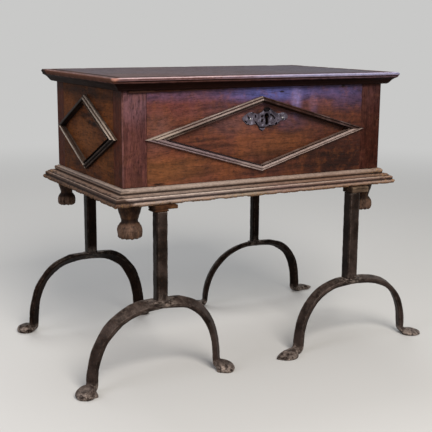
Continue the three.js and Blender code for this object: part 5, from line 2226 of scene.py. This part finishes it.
class NailTree(GroupTree):
    """Sets a domed nail head on every point that it is given."""

    name = "set_nails"
    inputs = {"Float": ("Radius", "Flatness"), "Int": ("Seed",), "Material": ("Finish",)}

    def wire(self, maker: Maker, given: Made) -> Field:
        """Wires the nodes.

        Args:
            maker: The maker of the tree.
            given: The tree's inputs.

        Returns:
            The heads.
        """
        ball = maker.add("GeometryNodeMeshUVSphere", {"Segments": 10, "Rings": 6, "Radius": given["Radius"]})
        flat = maker.add("ShaderNodeCombineXYZ", {"X": 1.0, "Y": 1.0, "Z": given["Flatness"]})["Vector"]
        head = maker.add("GeometryNodeTransform", {"Geometry": ball["Mesh"], "Scale": flat})
        out = {"Vector": carried(maker, "out", "FLOAT_VECTOR")}
        turn = maker.add("FunctionNodeAlignRotationToVector", out, axis="Z")["Rotation"]
        spread = {"Min_001": 0.86, "Max_001": 1.1, "Seed": given["Seed"]}
        size = maker.add("FunctionNodeRandomValue", spread, data_type="FLOAT")["Value_001"]
        placed = maker.add("GeometryNodeInstanceOnPoints", {
            "Points": given["Geometry"], "Instance": head["Geometry"], "Rotation": turn, "Scale": size,
        })
        return maker.add("GeometryNodeRealizeInstances", {"Geometry": placed["Instances"]})["Geometry"]

    def set_nails(self, name: str, places: Places, radius: float, material: Material, seed: int) -> Object:
        """Sets nails.

        Args:
            name: The piece's name.
            places: Where each nail sits, with the way out of what it holds.
            radius: The heads' radius, in millimetres.
            material: Their finish.
            seed: Which small differences they get.

        Returns:
            The heads, in one mesh.
        """
        mesh = new_mesh(name, [place for place, _ in places], [])
        note_vectors(mesh, "out", (out for _, out in places))
        piece = make_object(name, mesh)
        self.run(piece, {"Radius": radius * MM, "Flatness": 0.42, "Seed": seed, "Finish": material})
        shade_smooth(piece.data)
        return piece


@dataclass
class IronFittings:
    """The lock, the hinges and the nails that hold them."""

    finishes: Finishes
    nail_radius: float = 3.4

    def build(self) -> None:
        """Dresses the fittings and sets their nails."""
        pins = [f"{side}_hinge_pin" for side in ("left", "right")]
        for node in ("escutcheon_nail_left", "escutcheon_nail_right", "lock_spring", *pins):
            finish_node(node, self.finishes.bright)
        for node in ("lock_case", "lock_bolt", "lid_staple"):
            finish_node(node, self.finishes.lock)
        for side in ("left", "right"):
            for part in ("strap", "leaf"):
                name = f"{side}_hinge_{part}"
                plate = eased_copy(name, f"{side}_forged_{part}", self.finishes.lock, 0.6)
                put_on(plate, Body.LID if part == "strap" else Body.COFFER, [name])
        nails = NailTree()
        held = (
            ("lid_nails", Body.LID, self.hinge_nails("strap", 1, Vector((0, 0, -1)), (0.16, 0.45, 0.74))),
            (
                "coffer_nails", Body.COFFER,
                self.hinge_nails("leaf", 2, Vector((0, 1, 0)), (0.14, 0.42, 0.7)) + self.case_nails(),
            ),
        )
        for seed, (name, body, places) in enumerate(held, 5):
            heads = nails.set_nails(name, places, self.nail_radius, self.finishes.lock, seed)
            put_on(heads, body)

    def hinge_nails(self, part: str, along: int, out: Vector, shares: Sequence[float]) -> Places:
        """Places nails along the flat of each strap or leaf, away from its knuckle.

        Args:
            part: strap or leaf.
            along: The axis that the plate runs along, 1 for depth or 2 for height.
            out: The way out of the plate.
            shares: The nails' places, as shares of the plate's length.

        Returns:
            The place of each nail, with the way out of the plate.
        """
        places = []
        for side in ("left", "right"):
            node = f"{side}_hinge_{part}"
            low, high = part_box(node)
            middle = (low + high) / 2
            corners = (vertex.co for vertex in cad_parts[node].data.vertices)
            level = max(corner.dot(out) for corner in corners if corner[along] < middle[along])
            for share in shares:
                place = middle - out * middle.dot(out) + out * level
                place[along] = low[along] + (high[along] - low[along]) * share
                places.append((place, out))
        return places

    def case_nails(self) -> Places:
        """Places four nails on the inner face of the lock case."""
        low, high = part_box("lock_case")
        inset = 8 * MM
        return [
            (Vector((across, high.y, up)), Vector((0, 1, 0)))
            for across in (low.x + inset, high.x - inset) for up in (low.z + inset, high.z - inset)
        ]


# Studio
@dataclass
class Studio:
    """The pale floor, the soft lamps, the even sky and the camera."""

    focal_pixels: float = 907.18
    frame_pixels: float = 432.0
    sensor_width: float = 36.0
    camera_place: Triple = (-957.0, -1713.8, 676.1)
    yaw: float = -0.5079
    pitch: float = -0.2039
    roll: float = 0.0073
    floor_radius: float = 9.0
    lamp_aim: float = 0.35
    sky_strength: float = 0.32

    def build(self) -> None:
        """Builds the studio."""
        self.build_camera()
        self.build_floor()
        self.build_sky()
        self.build_lamp("key", (-0.5, -2.7, 2.45), size=1.5, power=118.0, colour="fff8f0")
        self.build_lamp("fill", (-3.0, -0.6, 1.5), size=1.6, power=24.0, colour="f4f4ff")
        self.build_lamp("back", (0.3, 1.9, 3.2), size=1.8, power=36.0, colour="ffffff")
        bpy.context.scene.view_settings.view_transform = "Standard"

    def build_camera(self) -> None:
        """Puts the camera where the photograph was taken from."""
        forward_flat = Vector((-math.sin(self.yaw), math.cos(self.yaw), 0))
        forward = forward_flat * math.cos(self.pitch) + Vector((0, 0, math.sin(self.pitch)))
        right_level = Vector((math.cos(self.yaw), math.sin(self.yaw), 0))
        up_level = right_level.cross(forward)
        right = right_level * math.cos(self.roll) + up_level * math.sin(self.roll)
        up = up_level * math.cos(self.roll) - right_level * math.sin(self.roll)
        data = bpy.data.cameras.new("camera")
        data.sensor_width = self.sensor_width
        data.lens = self.focal_pixels * self.sensor_width / self.frame_pixels
        camera = make_object("camera", data)
        turn = Matrix((right, up, -forward)).transposed().to_4x4()
        camera.matrix_world = Matrix.Translation(Vector(self.camera_place) * MM) @ turn
        bpy.context.scene.camera = camera

    def build_floor(self) -> None:
        """Lays the floor, a pale disc."""
        count = 96
        angles = [2 * math.pi * index / count for index in range(count)]
        rim = [Vector((math.cos(angle), math.sin(angle), 0)) * self.floor_radius for angle in angles]
        mesh = new_mesh("studio_floor", rim, [tuple(range(count))])
        cover_with(mesh, FloorPaint().build())
        make_object("studio_floor", mesh)

    def build_sky(self) -> None:
        """Lights the studio evenly, and shows a plain pale backdrop to the camera and in reflections."""
        world = bpy.data.worlds.new("studio")
        bpy.context.scene.world = world
        maker = emptied(world)
        seen = seen_rays(maker)
        light = maker.add("ShaderNodeBackground", {"Color": "f4f6fa", "Strength": self.sky_strength})
        backdrop = maker.add("ShaderNodeBackground", {"Color": BACKDROP, "Strength": 1.0})
        shown = maker.mix_shaders(seen, light["Background"], backdrop["Background"])
        maker.add("ShaderNodeOutputWorld", {"Surface": shown})

    def build_lamp(
        self, name: str, place: Triple, size: float, power: float, colour: str,
    ) -> None:
        """Hangs a soft square lamp that faces the box.

        Args:
            name: The lamp's name.
            place: Where it hangs, in metres.
            size: The length of its sides, in metres.
            power: Its power in watts.
            colour: Its colour.
        """
        data = bpy.data.lights.new(name, "AREA")
        data.size = size
        data.energy = power
        data.color = tint(colour)
        lamp = make_object(name, data)
        lamp.location = place
        aim = Vector((0, 0, self.lamp_aim)) - Vector(place)
        lamp.rotation_euler = aim.to_track_quat("-Z", "Y").to_euler()


def main() -> None:
    """Builds the studio and the object, piece by piece."""
    logging.basicConfig(level=logging.INFO, format="%(name)s: %(message)s")
    Studio().build()
    finishes = Finishes()
    shop = MouldingShop()
    Carcase(finishes).build()
    Plinth(finishes, shop).build()
    Lid(finishes, shop).build()
    Lozenges(finishes, shop).build()
    TurnedFeet(finishes).build()
    IronLegs(finishes, BarTree(), HammerTree()).build()
    Shims(finishes).build()
    Escutcheon(finishes).build()
    IronFittings(finishes).build()


if __name__ == "__main__":
    main()
